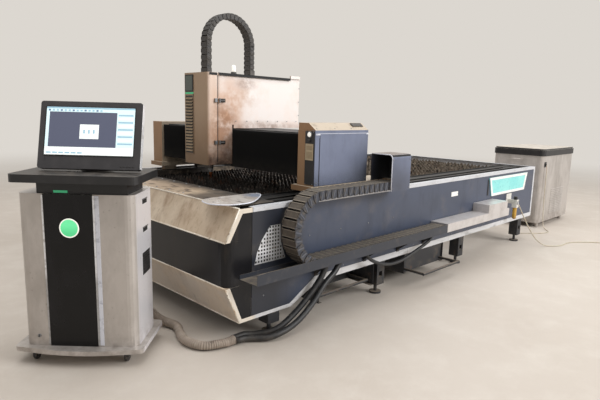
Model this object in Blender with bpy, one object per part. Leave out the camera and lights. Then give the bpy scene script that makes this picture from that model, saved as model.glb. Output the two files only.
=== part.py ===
"""Open-bed fiber laser cutting machine with its control console and laser source cabinet.

Lengths are in metres. X runs along the bed from the near end, Y runs across it to the far side
and Z is up. The world origin is under the near right levelling foot.
"""
import math

import bmesh
import bpy
from mathutils import Vector

# General
TOUCH = 0.0003
SHEET = 0.003
OVERRUN = 0.004
RIGHT_ANGLE = math.pi / 2

# Bed
BED_LENGTH = 4.60
BED_WIDTH = 2.30
DECK_Z = 0.900
LIP_DROP = 0.030
NOSE_OUT = 0.110
NOSE_TOP_Z = 0.700
NOSE_LOW_Z = 0.410
SKIRT_Z = 0.160
NOSE_CORNER_R = 0.070
CAP_LENGTH = 0.100
CAP_SEAM = 0.004
FLANGE_WIDE = 0.034
SILL_X = 0.450
SILL_RISE_X = 0.720
SILL_Z = 0.285
SKIRT_TRIM = 0.024
SILL_TRIM = 0.048
TOP_FLANGE = 0.045
CORNER_TRIM = 0.036

# Welded frame and feet
RAIL_BEAM_IN = 0.060
RAIL_BEAM_WIDE = 0.190
RAIL_BEAM_LOW = 0.600
RAIL_BEAM_TOP = 0.860
FRAME_SETBACK = 0.110
SILL_TUBE = 0.080
SILL_TUBE_Z = 0.300
SILL_IN = SHEET + TOUCH
VENT_THICK = 0.0015
LEG_SIDE = 0.100
LEG_IN = SILL_IN + VENT_THICK + TOUCH
LEG_LOW = 0.080
LEG_HOLE = 0.045
LEG_HOLE_Z = 0.150
FOOT_STATIONS = (0.300, 1.500, 2.860, 4.300)
PAD_R = 0.050
PAD_HIGH = 0.016
BOLT_R = 0.014
CROSS_HIGH = 0.090
RUNNER_FOOT = 0.030

# Deck, rails and slat table
END_DECK_LONG = 0.320
END_DECK_IN = 0.245
END_DECK_HIGH = 0.016
END_DECK_TOP = 0.925
END_DECK_R = 0.080
END_DECK_INSET = 0.020
RAIL_BASE_IN = 0.070
RAIL_BASE_WIDE = 0.160
RAIL_BASE_HIGH = 0.008
RAIL_CENTRE_IN = 0.150
RAIL_WIDE = 0.030
RAIL_TOP = 0.893
RACK_CENTRE_IN = 0.205
RACK_WIDE = 0.020
RACK_TOP = 0.884
RAIL_START = 0.130
TABLE_START = 0.350
TABLE_END = 4.400
TABLE_IN = 0.330
TABLE_RAIL = 0.030
TABLE_RAIL_LOW = 0.760
TABLE_RAIL_TOP = 0.835
SLAT_COUNT = 32
SLAT_THICK = 0.005
SLAT_LOW = 0.780
SLAT_TIP = 0.885
TOOTH_DEEP = 0.030
TOOTH_COUNT = 16

# Perforated vent
VENT_OUTLINE = (
    (0.120, 0.520), (0.142, 0.600), (0.182, 0.680), (0.250, 0.762), (0.345, 0.762), (0.350, 0.640),
    (0.395, 0.520),
)
VENT_LEFT = 0.135
VENT_RIGHT = 0.395
VENT_BOTTOM = 0.535
VENT_PITCH = 0.0240
VENT_HOLE = 0.0135
VENT_RIM = 0.012

# Chain tray and side covers
TRAY_OUT = 0.175
XCHAIN_FIXED = 2.225
CHAIN_STOP = 0.011
TRAY_END = XCHAIN_FIXED + CHAIN_STOP
TRAY_FLOOR_Z = 0.450
TRAY_WALL_TOP = 0.520
COVER_APART = 0.004
COVER_START = TRAY_END + COVER_APART
COVER_REG_GAP = 0.300
COVER_TOP = 0.528
STEP_BEFORE_END = 0.055
STEP_LONG = 0.430
STEP_TOP = 0.612

# Side plate and air regulator
PLATE_TOP_Z = 0.846
PLATE_LOW_Z = 0.644
PLATE_TOP_START = 3.370
PLATE_TOP_END = 4.360
PLATE_LOW_START = 3.440
PLATE_LOW_END = 4.300
PLATE_THICK = 0.008
REG_X = 3.900
REG_OUT = 0.085
REG_BODY = 0.056
REG_BODY_LOW = 0.480
REG_BODY_TOP = 0.570
REG_BOWL_R = 0.023
REG_BOWL_LOW = 0.345
REG_KNOB_R = 0.021
REG_KNOB_HIGH = 0.036
REG_BRACKET_HIGH = 0.110
REG_BRACKET_LONG = 0.130
REG_BRACKET_LOW = 0.520
COVER_END = REG_X - REG_BRACKET_LONG / 2 - COVER_REG_GAP
STEP_END = COVER_END - STEP_BEFORE_END
STEP_START = STEP_END - STEP_LONG

# Slag drawers
DRAWER_STARTS = (0.745, 1.845)
DRAWER_FRONTS = (0.250, 0.020)
DRAWER_LONG = 0.650
DRAWER_DEEP = 1.400
DRAWER_LOW = 0.105
DRAWER_TOP = 0.270
DRAWER_WALL = 0.004
HANDLE_R = 0.012
HANDLE_Z = 0.135
HANDLE_OUT = 0.200
HANDLE_INSET = 0.030

# Gantry
BOX_START = 0.682
BOX_END = 1.273
BOX_IN = 0.036
BOX_WIDE = 0.164
BOX_LOW = 0.975
BOX_TOP = 1.367
LEDGE_OUT = 0.028
LEDGE_LOW = 0.937
LEDGE_IN = 0.027
LEDGE_WIDE = 0.208
BEARING_WIDE = 0.060
BEARING_START = 0.720
BEARING_LONG = 0.130
BEARING_GAP = 0.380
COVER_PLATE = 0.0055
PANEL_INSET = 0.048
PANEL_PROUD = 0.003
STRIP_WIDE = 0.086
STRIP_THICK = 0.006
STRIP_LOW = 0.985
BUTTON_R = 0.0160
BUTTON_OUT = 0.010
BUTTON_Z = 1.340
BUTTON_IN = 0.078
BEAM_START = 0.760
BEAM_END = 1.180
BEAM_LOW = 1.020
BEAM_TOP = 1.345
CROSS_RAIL = 0.015
CROSS_RAIL_HIGH = 0.024
CROSS_RAIL_LOW_Z = 1.080
CROSS_RAIL_TOP_Z = 1.270
HOOD_START = 1.330
HOOD_END = 1.580
HOOD_LOW = 0.905
HOOD_TOP = 1.190
HOOD_OUT = 0.172
HOOD_IN = 0.030
HOOD_R = 0.030

# Bellows over the cross rails
BELLOWS_FRONT = 0.700
BELLOWS_BACK = 0.735
BELLOWS_LOW = 1.030
BELLOWS_TOP = 1.340
BELLOWS_PLEATS = 28
BELLOWS_SKIN = 0.0030

# X energy chain
XCHAIN_OUT = 0.162
XCHAIN_WIDE = 0.134
XCHAIN_HIGH = 0.066
XCHAIN_R = 0.232
XCHAIN_X = 0.585
XCHAIN_Z = TRAY_FLOOR_Z + SHEET + TOUCH + XCHAIN_HIGH / 2 + XCHAIN_R
XCHAIN_END = 1.480
XCHAIN_LINK = 0.058
XCHAIN_GROOVE = 0.008
XCHAIN_GROOVE_DEEP = 0.007

# Head
HEAD_Y = 1.165
HEAD_HALF = 0.175
HEAD_FRONT = 0.455
HEAD_BACK = 1.455
HEAD_LOW = 1.052
HEAD_STEP_X = 0.694
HEAD_STEP_Z = 1.374
HEAD_TOP = 1.785
HEAD_R = 0.026
DOOR_X = 0.5555
DOOR_GAP = 0.003
DOOR_BORDER = 0.014
HINGE_R = 0.006
HINGE_HIGH = 0.038
HINGE_STATIONS = (1.215, 1.545)
CARRIAGE_HALF = 0.145
CARRIAGE_FRONT = 0.718
CARRIAGE_LOW = 1.045
SADDLE_Z = 1.365
SADDLE_THICK = 0.012
SADDLE_END = 1.430
CHAIN_HOLE = 0.018
LOUVRE_IN = 0.015
LOUVRE_WIDE = 0.124
LOUVRE_LOW = 1.140
LOUVRE_TOP = 1.590
LOUVRE_COUNT = 13
LOUVRE_OUT = 0.010
PANEL_THICK = 0.003
WINDOW_LOW = 1.640
WINDOW_TOP = 1.768
LAMP_X = 0.760
LAMP_Y = 1.060
LAMP_BASE_R = 0.022
LAMP_BASE_HIGH = 0.020
LAMP_R = 0.016
LAMP_HIGH = 0.075

# Z energy chain
ZCHAIN_X = 0.785
ZCHAIN_Z = 2.035
ZCHAIN_R = 0.2225
ZCHAIN_HIGH = 0.045
ZCHAIN_WIDE = 0.090
ZCHAIN_LINK = 0.042
ZCHAIN_GROOVE = 0.006
ZCHAIN_GROOVE_DEEP = 0.005
ZCHAIN_FOOT = 1.620

# Cutting head on the Z slide
ZPLATE_HALF = 0.075
ZPLATE_THICK = 0.022
ZPLATE_LOW = 1.070
ZPLATE_TOP = 1.600
TORCH_X = 0.600
TORCH_R = 0.034
TORCH_LOW = 1.060
TORCH_TOP = 1.520
NOZZLE_TOP_R = 0.026
NOZZLE_TIP_R = 0.006
NOZZLE_NECK_Z = 1.000
NOZZLE_TIP_Z = 0.925
CLAMP_LOW = 1.200
CLAMP_HIGH = 0.120
CHAIN_SHELF_Z = 1.590

# Console
CONSOLE_X = -0.825
CONSOLE_Y = 0.465
CONSOLE_YAW = -math.pi / 4
CON_LEFT = -0.315
CON_RIGHT = 0.349
CON_DEEP = 0.360
CON_R = 0.055
CON_LOW = 0.106
CON_TOP = 1.010
CON_PANEL_LEFT = -0.160
CON_PANEL_RIGHT = 0.115
CON_PANEL_THICK = 0.006
DISC_X = -0.016
DISC_Z = 0.818
DISC_R = 0.056
BASE_LEFT = -0.365
BASE_RIGHT = 0.385
BASE_FRONT = -0.030
BASE_BOW = 0.045
BASE_DEEP = 0.410
BASE_LOW = 0.078
CASTOR_X = 0.270
CASTOR_FRONT_Y = 0.020
CASTOR_REAR_Y = 0.340
CASTOR_TRAIL = 0.020
WHEEL_R = 0.035
WHEEL_WIDE = 0.022
FORK_WALL = 0.003
FORK_HALF_LONG = 0.018
AXLE_R = 0.004
TRAY_LEFT = -0.290
TRAY_RIGHT = 0.410
TRAY_FRONT = -0.130
TRAY_BACK = 0.300
CTRAY_LOW = 1.088
CTRAY_TOP = 1.132
CTRAY_R = 0.040
NECK_LEFT = -0.200
NECK_RIGHT = 0.310
NECK_FRONT = 0.010
NECK_BACK = 0.290
MON_LEFT = -0.200
MON_RIGHT = 0.375
MON_LOW = 1.150
MON_HIGH = 0.385
MON_THICK = 0.045
MON_Y = 0.030
MON_TILT = math.radians(-15)
MON_R = 0.014
MON_BEZEL = 0.040
SCREEN_THICK = 0.002
STAND_WIDE = 0.160
STAND_DEEP = 0.050
STAND_HIGH = 0.190

# Cabinet
CAB_START = 5.250
CAB_END = 6.400
CAB_RIGHT = 0.140
CAB_LEFT = 0.830
CAB_PLINTH = 0.050
CAB_BODY_LOW = 0.070
CAB_BODY_TOP = 0.985
CAB_BAND_TOP = 1.062
CAB_TOP = 1.080
CAB_BAND_OUT = 0.010
CAB_R = 0.060
CAB_DOOR_BORDER = 0.055
CAB_DOOR_THICK = 0.004
CAB_FOOT_R = 0.030
CAB_HANDLE_R = 0.007
CAB_HANDLE_HALF = 0.060
CAB_HANDLE_OUT = 0.030

# Hoses and cables, each a run of hand-placed points
HOSE_R = 0.021
HOSE_A_POINTS = (
    (0.870, -0.075, 0.4497), (0.870, -0.075, 0.415), (0.810, -0.080, 0.352), (0.700, -0.088, 0.290),
    (0.560, -0.100, 0.175), (0.390, -0.105, 0.080), (0.220, -0.080, 0.035), (0.120, -0.005, 0.028),
    (0.060, 0.032, 0.031), (0.0003, 0.033, 0.031),
)
HOSE_B_POINTS = (
    (0.720, -0.075, 0.4497), (0.720, -0.075, 0.415), (0.680, -0.070, 0.340), (0.590, -0.060, 0.240),
    (0.450, -0.050, 0.130), (0.290, -0.034, 0.050), (0.170, 0.040, 0.026), (0.110, 0.074, 0.030),
    (0.060, 0.077, 0.031), (0.0003, 0.077, 0.031),
)
DRAIN_R = 0.014
DRAIN_POINTS = (
    (1.180, -0.080, 0.4497), (1.180, -0.080, 0.415), (1.260, -0.090, 0.350), (1.420, -0.100, 0.296),
    (1.620, -0.100, 0.286), (1.860, -0.095, 0.330), (2.060, -0.090, 0.378), (2.120, -0.085, 0.415),
    (2.120, -0.085, 0.4497),
)
CONDUIT_R = 0.030
CONDUIT_POINTS = (
    (0.000, 0.055, 0.031), (-0.060, 0.055, 0.031), (-0.190, 0.110, 0.031), (-0.235, 0.240, 0.031),
    (-0.205, 0.370, 0.031), (-0.160, 0.490, 0.031), (-0.203, 0.635, 0.050), (-0.263, 0.730, 0.150),
    (-0.312, 0.744, 0.265), (-0.365, 0.712, 0.300), (-0.394, 0.684, 0.300), (-0.429, 0.649, 0.300),
    (-0.4640, 0.6140, 0.300),
)
AIR_R = 0.006
AIR_POINTS = (
    (3.9283, -0.085, 0.520), (3.945, -0.085, 0.520), (3.995, -0.090, 0.495), (4.060, -0.120, 0.380),
    (4.130, -0.180, 0.220), (4.200, -0.245, 0.090), (4.270, -0.308, 0.024), (4.350, -0.370, 0.0085),
    (4.480, -0.435, 0.0072), (4.700, -0.450, 0.007), (4.880, -0.560, 0.007), (5.080, -0.760, 0.007),
    (5.300, -0.900, 0.007),
)
CABLE_R = 0.005
CABLE_POINTS = (
    (5.330, 0.1397, 0.870), (5.330, 0.125, 0.870), (5.322, 0.112, 0.800), (5.318, 0.110, 0.700),
    (5.312, 0.105, 0.450), (5.300, 0.090, 0.180), (5.270, 0.060, 0.040), (5.220, 0.000, 0.006),
    (5.120, -0.060, 0.006), (4.960, -0.030, 0.006), (4.800, 0.100, 0.006), (4.720, 0.180, 0.020),
    (4.680, 0.210, 0.120), (4.670, 0.220, 0.250), (4.630, 0.220, 0.350), (4.6003, 0.220, 0.350),
)
CORD_SPACING = 2.2
CORD_POINT_LIMIT = 78
CURVE_SAMPLES = 12

homes = {}


def linear(level):
    """Linear value of one sRGB level."""
    return level / 12.92 if level <= 0.04045 else ((level + 0.055) / 1.055) ** 2.4


def finish(name, colour, roughness, metallic):
    """Principled material of one sub-part."""
    made = bpy.data.materials.new(name)
    made.use_nodes = True
    shader = made.node_tree.nodes["Principled BSDF"]
    levels = [linear(int(colour[k:k + 2], 16) / 255) for k in (0, 2, 4)]
    shader.inputs["Base Color"].default_value = (*levels, 1.0)
    shader.inputs["Roughness"].default_value = roughness
    shader.inputs["Metallic"].default_value = metallic
    made.diffuse_color = (*levels, 1.0)
    return made


def box(x0, x1, y0, y1, z0, z1):
    """Closed box between two corners."""
    corners = [(x, y, z) for z in (z0, z1) for y in (y0, y1) for x in (x0, x1)]
    sides = [(0, 2, 3, 1), (4, 5, 7, 6), (0, 1, 5, 4), (2, 6, 7, 3), (0, 4, 6, 2), (1, 3, 7, 5)]
    return corners, sides


def prism(outline, axis, start, end):
    """Closed solid of a flat outline carried along one axis."""
    place = {
        "x": lambda p, s: (s, p[0], p[1]),
        "y": lambda p, s: (p[0], s, p[1]),
        "z": lambda p, s: (p[0], p[1], s),
    }[axis]
    count = len(outline)
    corners = [place(p, s) for s in (start, end) for p in outline]
    sides = [tuple(range(count)), tuple(range(2 * count - 1, count - 1, -1))]
    sides += [(k, (k + 1) % count, count + (k + 1) % count, count + k) for k in range(count)]
    return corners, sides


def turned(rings, sides, axis="z", centre=(0, 0, 0)):
    """Closed solid of revolution from (radius, height) rings along one axis."""
    order = {"x": (2, 0, 1), "y": (1, 2, 0), "z": (0, 1, 2)}[axis]
    corners = []
    for radius, height in rings:
        for k in range(sides):
            angle = 2 * math.pi * k / sides
            flat = (radius * math.cos(angle), radius * math.sin(angle), height)
            corners.append(tuple(flat[order[i]] + centre[i] for i in range(3)))
    faces = [tuple(range(sides))]
    for ring in range(len(rings) - 1):
        for k in range(sides):
            near, far = ring * sides + k, ring * sides + (k + 1) % sides
            faces.append((near, near + sides, far + sides, far))
    faces.append(tuple(range(len(rings) * sides - 1, (len(rings) - 1) * sides - 1, -1)))
    return corners, faces


def rod(start, end, radius, sides=12):
    """Round bar between two points."""
    a, b = Vector(start), Vector(end)
    turn = (b - a).to_track_quat("Z", "Y")
    corners = []
    for base in (a, b):
        for k in range(sides):
            angle = 2 * math.pi * k / sides
            spoke = Vector((radius * math.cos(angle), radius * math.sin(angle), 0))
            corners.append(tuple(base + turn @ spoke))
    faces = [tuple(range(sides)), tuple(range(2 * sides - 1, sides - 1, -1))]
    faces += [(k, (k + 1) % sides, sides + (k + 1) % sides, sides + k) for k in range(sides)]
    return corners, faces


def rounded(x0, x1, y0, y1, radii, steps=5):
    """Rectangle outline with a radius for each corner, from the low corner round."""
    centres = ((x0, y0, 1, 1, 2), (x1, y0, -1, 1, 3), (x1, y1, -1, -1, 0), (x0, y1, 1, -1, 1))
    outline = []
    for (x, y, sx, sy, quarter), radius in zip(centres, radii):
        if not radius:
            outline.append((x, y))
            continue
        for k in range(steps + 1):
            angle = (quarter + k / steps) * RIGHT_ANGLE
            outline.append((
                x + sx * radius + radius * math.cos(angle),
                y + sy * radius + radius * math.sin(angle),
            ))
    return outline


def joined(solids):
    """One vertex and face list from several solids."""
    corners, faces = [], []
    for points, sides in solids:
        base = len(corners)
        corners += points
        faces += [tuple(base + k for k in side) for side in sides]
    return corners, faces


def mesh_object(name, solid, parent, at):
    """Object of one solid, its origin at a chosen point of the parent's frame."""
    corners, faces = solid
    mesh = bpy.data.meshes.new(name)
    mesh.from_pydata([tuple(Vector(c) - Vector(at)) for c in corners], [], faces)
    work = bmesh.new()
    work.from_mesh(mesh)
    bmesh.ops.recalc_face_normals(work, faces=work.faces)
    work.to_mesh(mesh)
    work.free()
    made = bpy.data.objects.new(name, mesh)
    bpy.context.scene.collection.objects.link(made)
    made.parent = parent
    made.location = Vector(at) - Vector(homes[parent.name])
    return made


def combine(target, solids, operation, parent, at):
    """Boolean of hidden solids on a target."""
    tool = mesh_object(f"{target.name}_{operation.lower()}", joined(solids), parent, at)
    tool.hide_render = True
    tool.display_type = "WIRE"
    step = target.modifiers.new(operation.lower(), "BOOLEAN")
    step.operation = operation
    step.object = tool
    step.solver = "EXACT"
    step.use_self = len(solids) > 1


def part(name, solids, material, parent, at=(0, 0, 0), cuts=(), smooth=False):
    """Sub-part made of fused solids with cuts taken out."""
    made = mesh_object(name, solids[0], parent, at)
    made.data.materials.append(material)
    if len(solids) > 1:
        combine(made, solids[1:], "UNION", parent, at)
    if cuts:
        combine(made, cuts, "DIFFERENCE", parent, at)
    if smooth:
        made.data.shade_smooth()
        made.data.set_sharp_from_angle(angle=math.radians(35))
    return made


def station(name, parent, at, yaw=0.0, frame=None):
    """Empty on a joint's axis or at a unit's place."""
    made = bpy.data.objects.new(name, None)
    bpy.context.scene.collection.objects.link(made)
    made.parent = parent
    made.location = Vector(at) - Vector(homes[parent.name] if parent else (0, 0, 0))
    made.rotation_euler = (0, 0, yaw)
    homes[name] = at if frame is None else frame
    return made


def smooth_route(points, spacing):
    """Evenly spaced points on a smooth curve, its end pieces straight to meet their fittings square."""
    route = [Vector(p) for p in points]
    fine = []
    for k in range(1, len(route) - 2):
        a, b, c, d = route[k - 1:k + 3]
        for step in range(CURVE_SAMPLES):
            t = step / CURVE_SAMPLES
            fine.append(
                ((2 * b) + (c - a) * t + (2 * a - 5 * b + 4 * c - d) * t ** 2
                 + (3 * b - a - 3 * c + d) * t ** 3) / 2
            )
    fine.append(route[-2])
    reach = [0.0]
    for a, b in zip(fine, fine[1:]):
        reach.append(reach[-1] + (b - a).length)
    count = min(CORD_POINT_LIMIT, max(4, round(reach[-1] / spacing)))
    even, at = [], 0
    for k in range(count + 1):
        goal = reach[-1] * k / count
        while at < len(fine) - 2 and reach[at + 1] < goal:
            at += 1
        share = (goal - reach[at]) / (reach[at + 1] - reach[at])
        even.append(fine[at].lerp(fine[at + 1], share))
    return [route[0], *even, route[-1]]


def cord(name, points, radius, material, parent):
    """Flexible tube along a smooth route."""
    even = smooth_route(points, 2 * radius * CORD_SPACING)
    curve = bpy.data.curves.new(name, "CURVE")
    curve.dimensions = "3D"
    curve.bevel_depth = radius
    curve.bevel_resolution = 2
    curve.use_fill_caps = True
    curve.render_resolution_u = 0
    line = curve.splines.new("POLY")
    line.points.add(len(even) - 1)
    for spot, p in zip(line.points, even):
        spot.co = (*p, 1.0)
    curve.materials.append(material)
    made = bpy.data.objects.new(name, curve)
    bpy.context.scene.collection.objects.link(made)
    made.parent = parent


def mirrored(y):
    """The same place on the bed's other side."""
    return BED_WIDTH - y


def sides_of_bed(y0, y1):
    """Low and high Y of a strip on the right side and its mirror on the left."""
    return ((y0, y1), (mirrored(y1), mirrored(y0)))


def bed_frame(material, parent):
    """Welded tube frame with the rail beams, cross members, legs and levelling feet."""
    far = BED_LENGTH - FRAME_SETBACK
    solids = []
    for y0, y1 in sides_of_bed(RAIL_BEAM_IN, RAIL_BEAM_IN + RAIL_BEAM_WIDE):
        solids.append(box(FRAME_SETBACK, far, y0, y1, RAIL_BEAM_LOW, RAIL_BEAM_TOP))
    for y0, y1 in sides_of_bed(SILL_IN, SILL_IN + SILL_TUBE):
        solids.append(box(FRAME_SETBACK, far, y0, y1, SILL_TUBE_Z, SILL_TUBE_Z + SILL_TUBE))
    holes = []
    for x in FOOT_STATIONS:
        half = LEG_SIDE / 2
        for y0, y1 in sides_of_bed(LEG_IN, LEG_IN + LEG_SIDE):
            solids.append(box(x - half, x + half, y0, y1, LEG_LOW, RAIL_BEAM_LOW + SHEET))
            middle = (y0 + y1) / 2
            bolt = ((BOLT_R, PAD_HIGH - SHEET), (BOLT_R, LEG_LOW + SHEET))
            pad = ((PAD_R, 0), (PAD_R, PAD_HIGH))
            solids.append(turned(bolt, 16, centre=(x, middle, 0)))
            solids.append(turned(pad, 24, centre=(x, middle, 0)))
            hole = LEG_HOLE / 2
            low, high = LEG_HOLE_Z, LEG_HOLE_Z + LEG_HOLE
            holes.append(box(x - hole, x + hole, y0 - OVERRUN, y1 + OVERRUN, low, high))
        inner = SILL_IN + SILL_TUBE - SHEET
        low, high = SILL_TUBE_Z, SILL_TUBE_Z + SILL_TUBE
        solids.append(box(x - half, x + half, inner, mirrored(inner), low, high))
        inner = RAIL_BEAM_IN + RAIL_BEAM_WIDE - SHEET
        high = TABLE_RAIL_LOW - TOUCH
        solids.append(box(x - half, x + half, inner, mirrored(inner), high - CROSS_HIGH, high))
    for x in DRAWER_STARTS:
        solids += runner(x - TOUCH, 1) + runner(x + DRAWER_LONG + TOUCH, -1)
    part("bed_frame", solids, material, parent, cuts=holes)


def runner(x, inward):
    """Angle across the frame that hangs from the sill tubes and carries one edge of a drawer."""
    top = DRAWER_LOW - TOUCH
    web = sorted((x - inward * SHEET, x))
    foot = sorted((x - inward * SHEET, x + inward * RUNNER_FOOT))
    ends = (SILL_IN, mirrored(SILL_IN))
    return [
        box(*web, *ends, top - SHEET, SILL_TUBE_Z + SHEET),
        box(*foot, *ends, top - SHEET, top),
    ]


def slanted(x_top, z_top, x_low, z_low, depth):
    """Outline of a sheet between two heights with its thickness behind it."""
    return ((x_top, z_top), (x_low, z_low), (x_low + depth, z_low), (x_top + depth, z_top))


def end_fascia_upper(material, parent):
    """Upper slanted end sheet with a flange folded round each side."""
    sheet = slanted(0, DECK_Z, -NOSE_OUT, NOSE_TOP_Z, SHEET)
    solids = [prism(sheet, "y", -SHEET, BED_WIDTH + SHEET)]
    band = (
        (0, DECK_Z), (-NOSE_OUT, NOSE_TOP_Z), (FLANGE_WIDE - NOSE_OUT, NOSE_TOP_Z),
        (SHEET + FLANGE_WIDE / 2, DECK_Z - LIP_DROP), (CAP_LENGTH, DECK_Z - LIP_DROP),
        (CAP_LENGTH, DECK_Z),
    )
    for y0, y1 in sides_of_bed(-SHEET, -TOUCH):
        solids.append(prism(band, "y", y0, y1))
    part("end_fascia_upper", solids, material, parent)


def end_fascia_lower(material, parent):
    """Lower slanted end sheet, its side flanges and the light sill trims along both sides."""
    sheet = slanted(-NOSE_OUT, NOSE_LOW_Z, 0, SKIRT_Z, SHEET)
    solids = [prism(sheet, "y", -SHEET, BED_WIDTH + SHEET)]
    lip = box(-NOSE_OUT, FLANGE_WIDE - NOSE_OUT, -SHEET, BED_WIDTH + SHEET,
              NOSE_LOW_Z - SHEET, NOSE_LOW_Z)
    solids.append(lip)
    band = (
        (-NOSE_OUT, NOSE_LOW_Z), (0, SKIRT_Z), (CAP_LENGTH + SHEET, SKIRT_Z),
        (CAP_LENGTH + SHEET, SKIRT_Z + SKIRT_TRIM), (FLANGE_WIDE / 2, SKIRT_Z + SKIRT_TRIM),
        (FLANGE_WIDE - NOSE_OUT, NOSE_LOW_Z),
    )
    sill = (
        (CAP_LENGTH, SKIRT_Z), (SILL_X, SKIRT_Z), (SILL_RISE_X, SILL_Z), (BED_LENGTH, SILL_Z),
        (BED_LENGTH, SILL_Z + SILL_TRIM), (SILL_RISE_X - SILL_TRIM / 2, SILL_Z + SILL_TRIM),
        (SILL_X - SKIRT_TRIM / 2, SKIRT_Z + SKIRT_TRIM), (CAP_LENGTH, SKIRT_Z + SKIRT_TRIM),
    )
    for y0, y1 in sides_of_bed(-SHEET, -TOUCH):
        solids.append(prism(band, "y", y0, y1))
        solids.append(prism(sill, "y", y0, y1))
    part("end_fascia_lower", solids, material, parent)


def end_band(material, parent):
    """Dark band round the nose with the dark end plates on both sides."""
    radius = NOSE_CORNER_R
    back = SHEET + TOUCH
    ring = rounded(-NOSE_OUT, back, 0, BED_WIDTH, (radius, 0, 0, radius))
    inner = rounded(SHEET - NOSE_OUT, back + OVERRUN, SHEET, BED_WIDTH - SHEET,
                    (radius - SHEET, 0, 0, radius - SHEET))
    low, high = NOSE_LOW_Z + TOUCH, NOSE_TOP_Z - TOUCH
    cap_end = CAP_LENGTH - CAP_SEAM
    slope = NOSE_OUT / (NOSE_LOW_Z - SKIRT_Z)
    lip = SHEET + TOUCH
    plate = (
        (lip, DECK_Z - SHEET), (lip + TOUCH - NOSE_OUT, NOSE_TOP_Z), (0, NOSE_TOP_Z),
        (0, NOSE_LOW_Z), (0, NOSE_LOW_Z - lip), (lip + lip * slope - NOSE_OUT, NOSE_LOW_Z - lip),
        (SHEET + TOUCH, SKIRT_Z), (cap_end, SKIRT_Z), (cap_end, DECK_Z - SHEET),
    )
    solids = [prism(ring, "z", low, high)]
    solids += [prism(plate, "y", y0, y1) for y0, y1 in sides_of_bed(0, SHEET)]
    cuts = [prism(inner, "z", low - OVERRUN, high + OVERRUN)]
    part("end_band", solids, material, parent, cuts=cuts)


def side_panels(material, parent):
    """Long dark side sheets; the right one is open behind the perforated vent."""
    outline = (
        (CAP_LENGTH, SKIRT_Z), (SILL_X, SKIRT_Z), (SILL_RISE_X, SILL_Z),
        (BED_LENGTH - SHEET - TOUCH, SILL_Z), (BED_LENGTH - SHEET - TOUCH, DECK_Z - SHEET - TOUCH),
        (CAP_LENGTH, DECK_Z - SHEET - TOUCH),
    )
    names = ("side_panel_right", "side_panel_left")
    window = prism(VENT_OUTLINE, "y", -OVERRUN, SHEET + OVERRUN)
    for name, (y0, y1) in zip(names, sides_of_bed(0, SHEET)):
        cuts = [window] if name == names[0] else []
        part(name, [prism(outline, "y", y0, y1)], material, parent, cuts=cuts)


def inside(point, outline, margin):
    """Whether a point lies inside an outline by more than a margin."""
    x, z = point
    crossings = 0
    for (ax, az), (bx, bz) in zip(outline, outline[1:] + outline[:1]):
        along = Vector((bx - ax, bz - az))
        reach = max(0.0, min(1.0, Vector((x - ax, z - az)).dot(along) / along.length_squared))
        if (Vector((x - ax, z - az)) - along * reach).length < margin:
            return False
        if (az > z) != (bz > z) and x < ax + (z - az) * (bx - ax) / (bz - az):
            crossings += 1
    return crossings % 2 == 1


def side_vent(material, parent):
    """Bright perforated plate behind the opening in the right side."""
    left, right = VENT_OUTLINE[0][0] - VENT_RIM, VENT_OUTLINE[-1][0] + VENT_RIM
    low, high = VENT_OUTLINE[0][1] - VENT_RIM, VENT_OUTLINE[3][1] + VENT_RIM
    y0 = SHEET + TOUCH
    y1 = y0 + VENT_THICK
    holes = []
    columns = int((VENT_RIGHT - VENT_LEFT) / VENT_PITCH) + 1
    rows = int((VENT_OUTLINE[3][1] - VENT_BOTTOM) / VENT_PITCH) + 1
    for column in range(columns):
        for row in range(rows):
            x, z = VENT_LEFT + column * VENT_PITCH, VENT_BOTTOM + row * VENT_PITCH
            half = VENT_HOLE / 2
            if inside((x, z), VENT_OUTLINE, half):
                holes.append(box(x - half, x + half, y0 - OVERRUN, y1 + OVERRUN, z - half, z + half))
    part("side_vent", [box(left, right, y0, y1, low, high)], material, parent, cuts=holes)


def top_trim(material, parent):
    """Folded light trim along both sides and the sheet that closes the far end."""
    low = DECK_Z - LIP_DROP
    start = CAP_LENGTH + CAP_SEAM
    solids = []
    for y0, y1 in sides_of_bed(-SHEET, TOP_FLANGE):
        solids.append(box(start, BED_LENGTH, y0, y1, DECK_Z - SHEET, DECK_Z))
    for y0, y1 in sides_of_bed(-SHEET, -TOUCH):
        solids.append(box(start, BED_LENGTH, y0, y1, low, DECK_Z))
        column = SILL_Z + SILL_TRIM + TOUCH
        solids.append(box(BED_LENGTH - CORNER_TRIM, BED_LENGTH, y0, y1, column, DECK_Z))
    solids.append(box(BED_LENGTH - TOP_FLANGE, BED_LENGTH, 0, BED_WIDTH, DECK_Z - SHEET, DECK_Z))
    solids.append(box(BED_LENGTH - SHEET, BED_LENGTH, 0, BED_WIDTH, SILL_Z, DECK_Z))
    part("top_trim", solids, material, parent)


def end_deck(material, parent):
    """Raised plate with rounded corners between the end sheet and the slats."""
    y0, y1 = END_DECK_IN, mirrored(END_DECK_IN)
    low = END_DECK_TOP - END_DECK_HIGH
    radii = (END_DECK_R, 0, 0, END_DECK_R)
    plate = prism(rounded(-SHEET, END_DECK_LONG, y0, y1, radii), "z", low, END_DECK_TOP)
    inset = END_DECK_INSET
    base = box(FRAME_SETBACK + inset, END_DECK_LONG - inset, y0 + inset, y1 - inset,
               TABLE_RAIL_LOW, low + SHEET)
    part("end_deck", [plate, base], material, parent)


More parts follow.
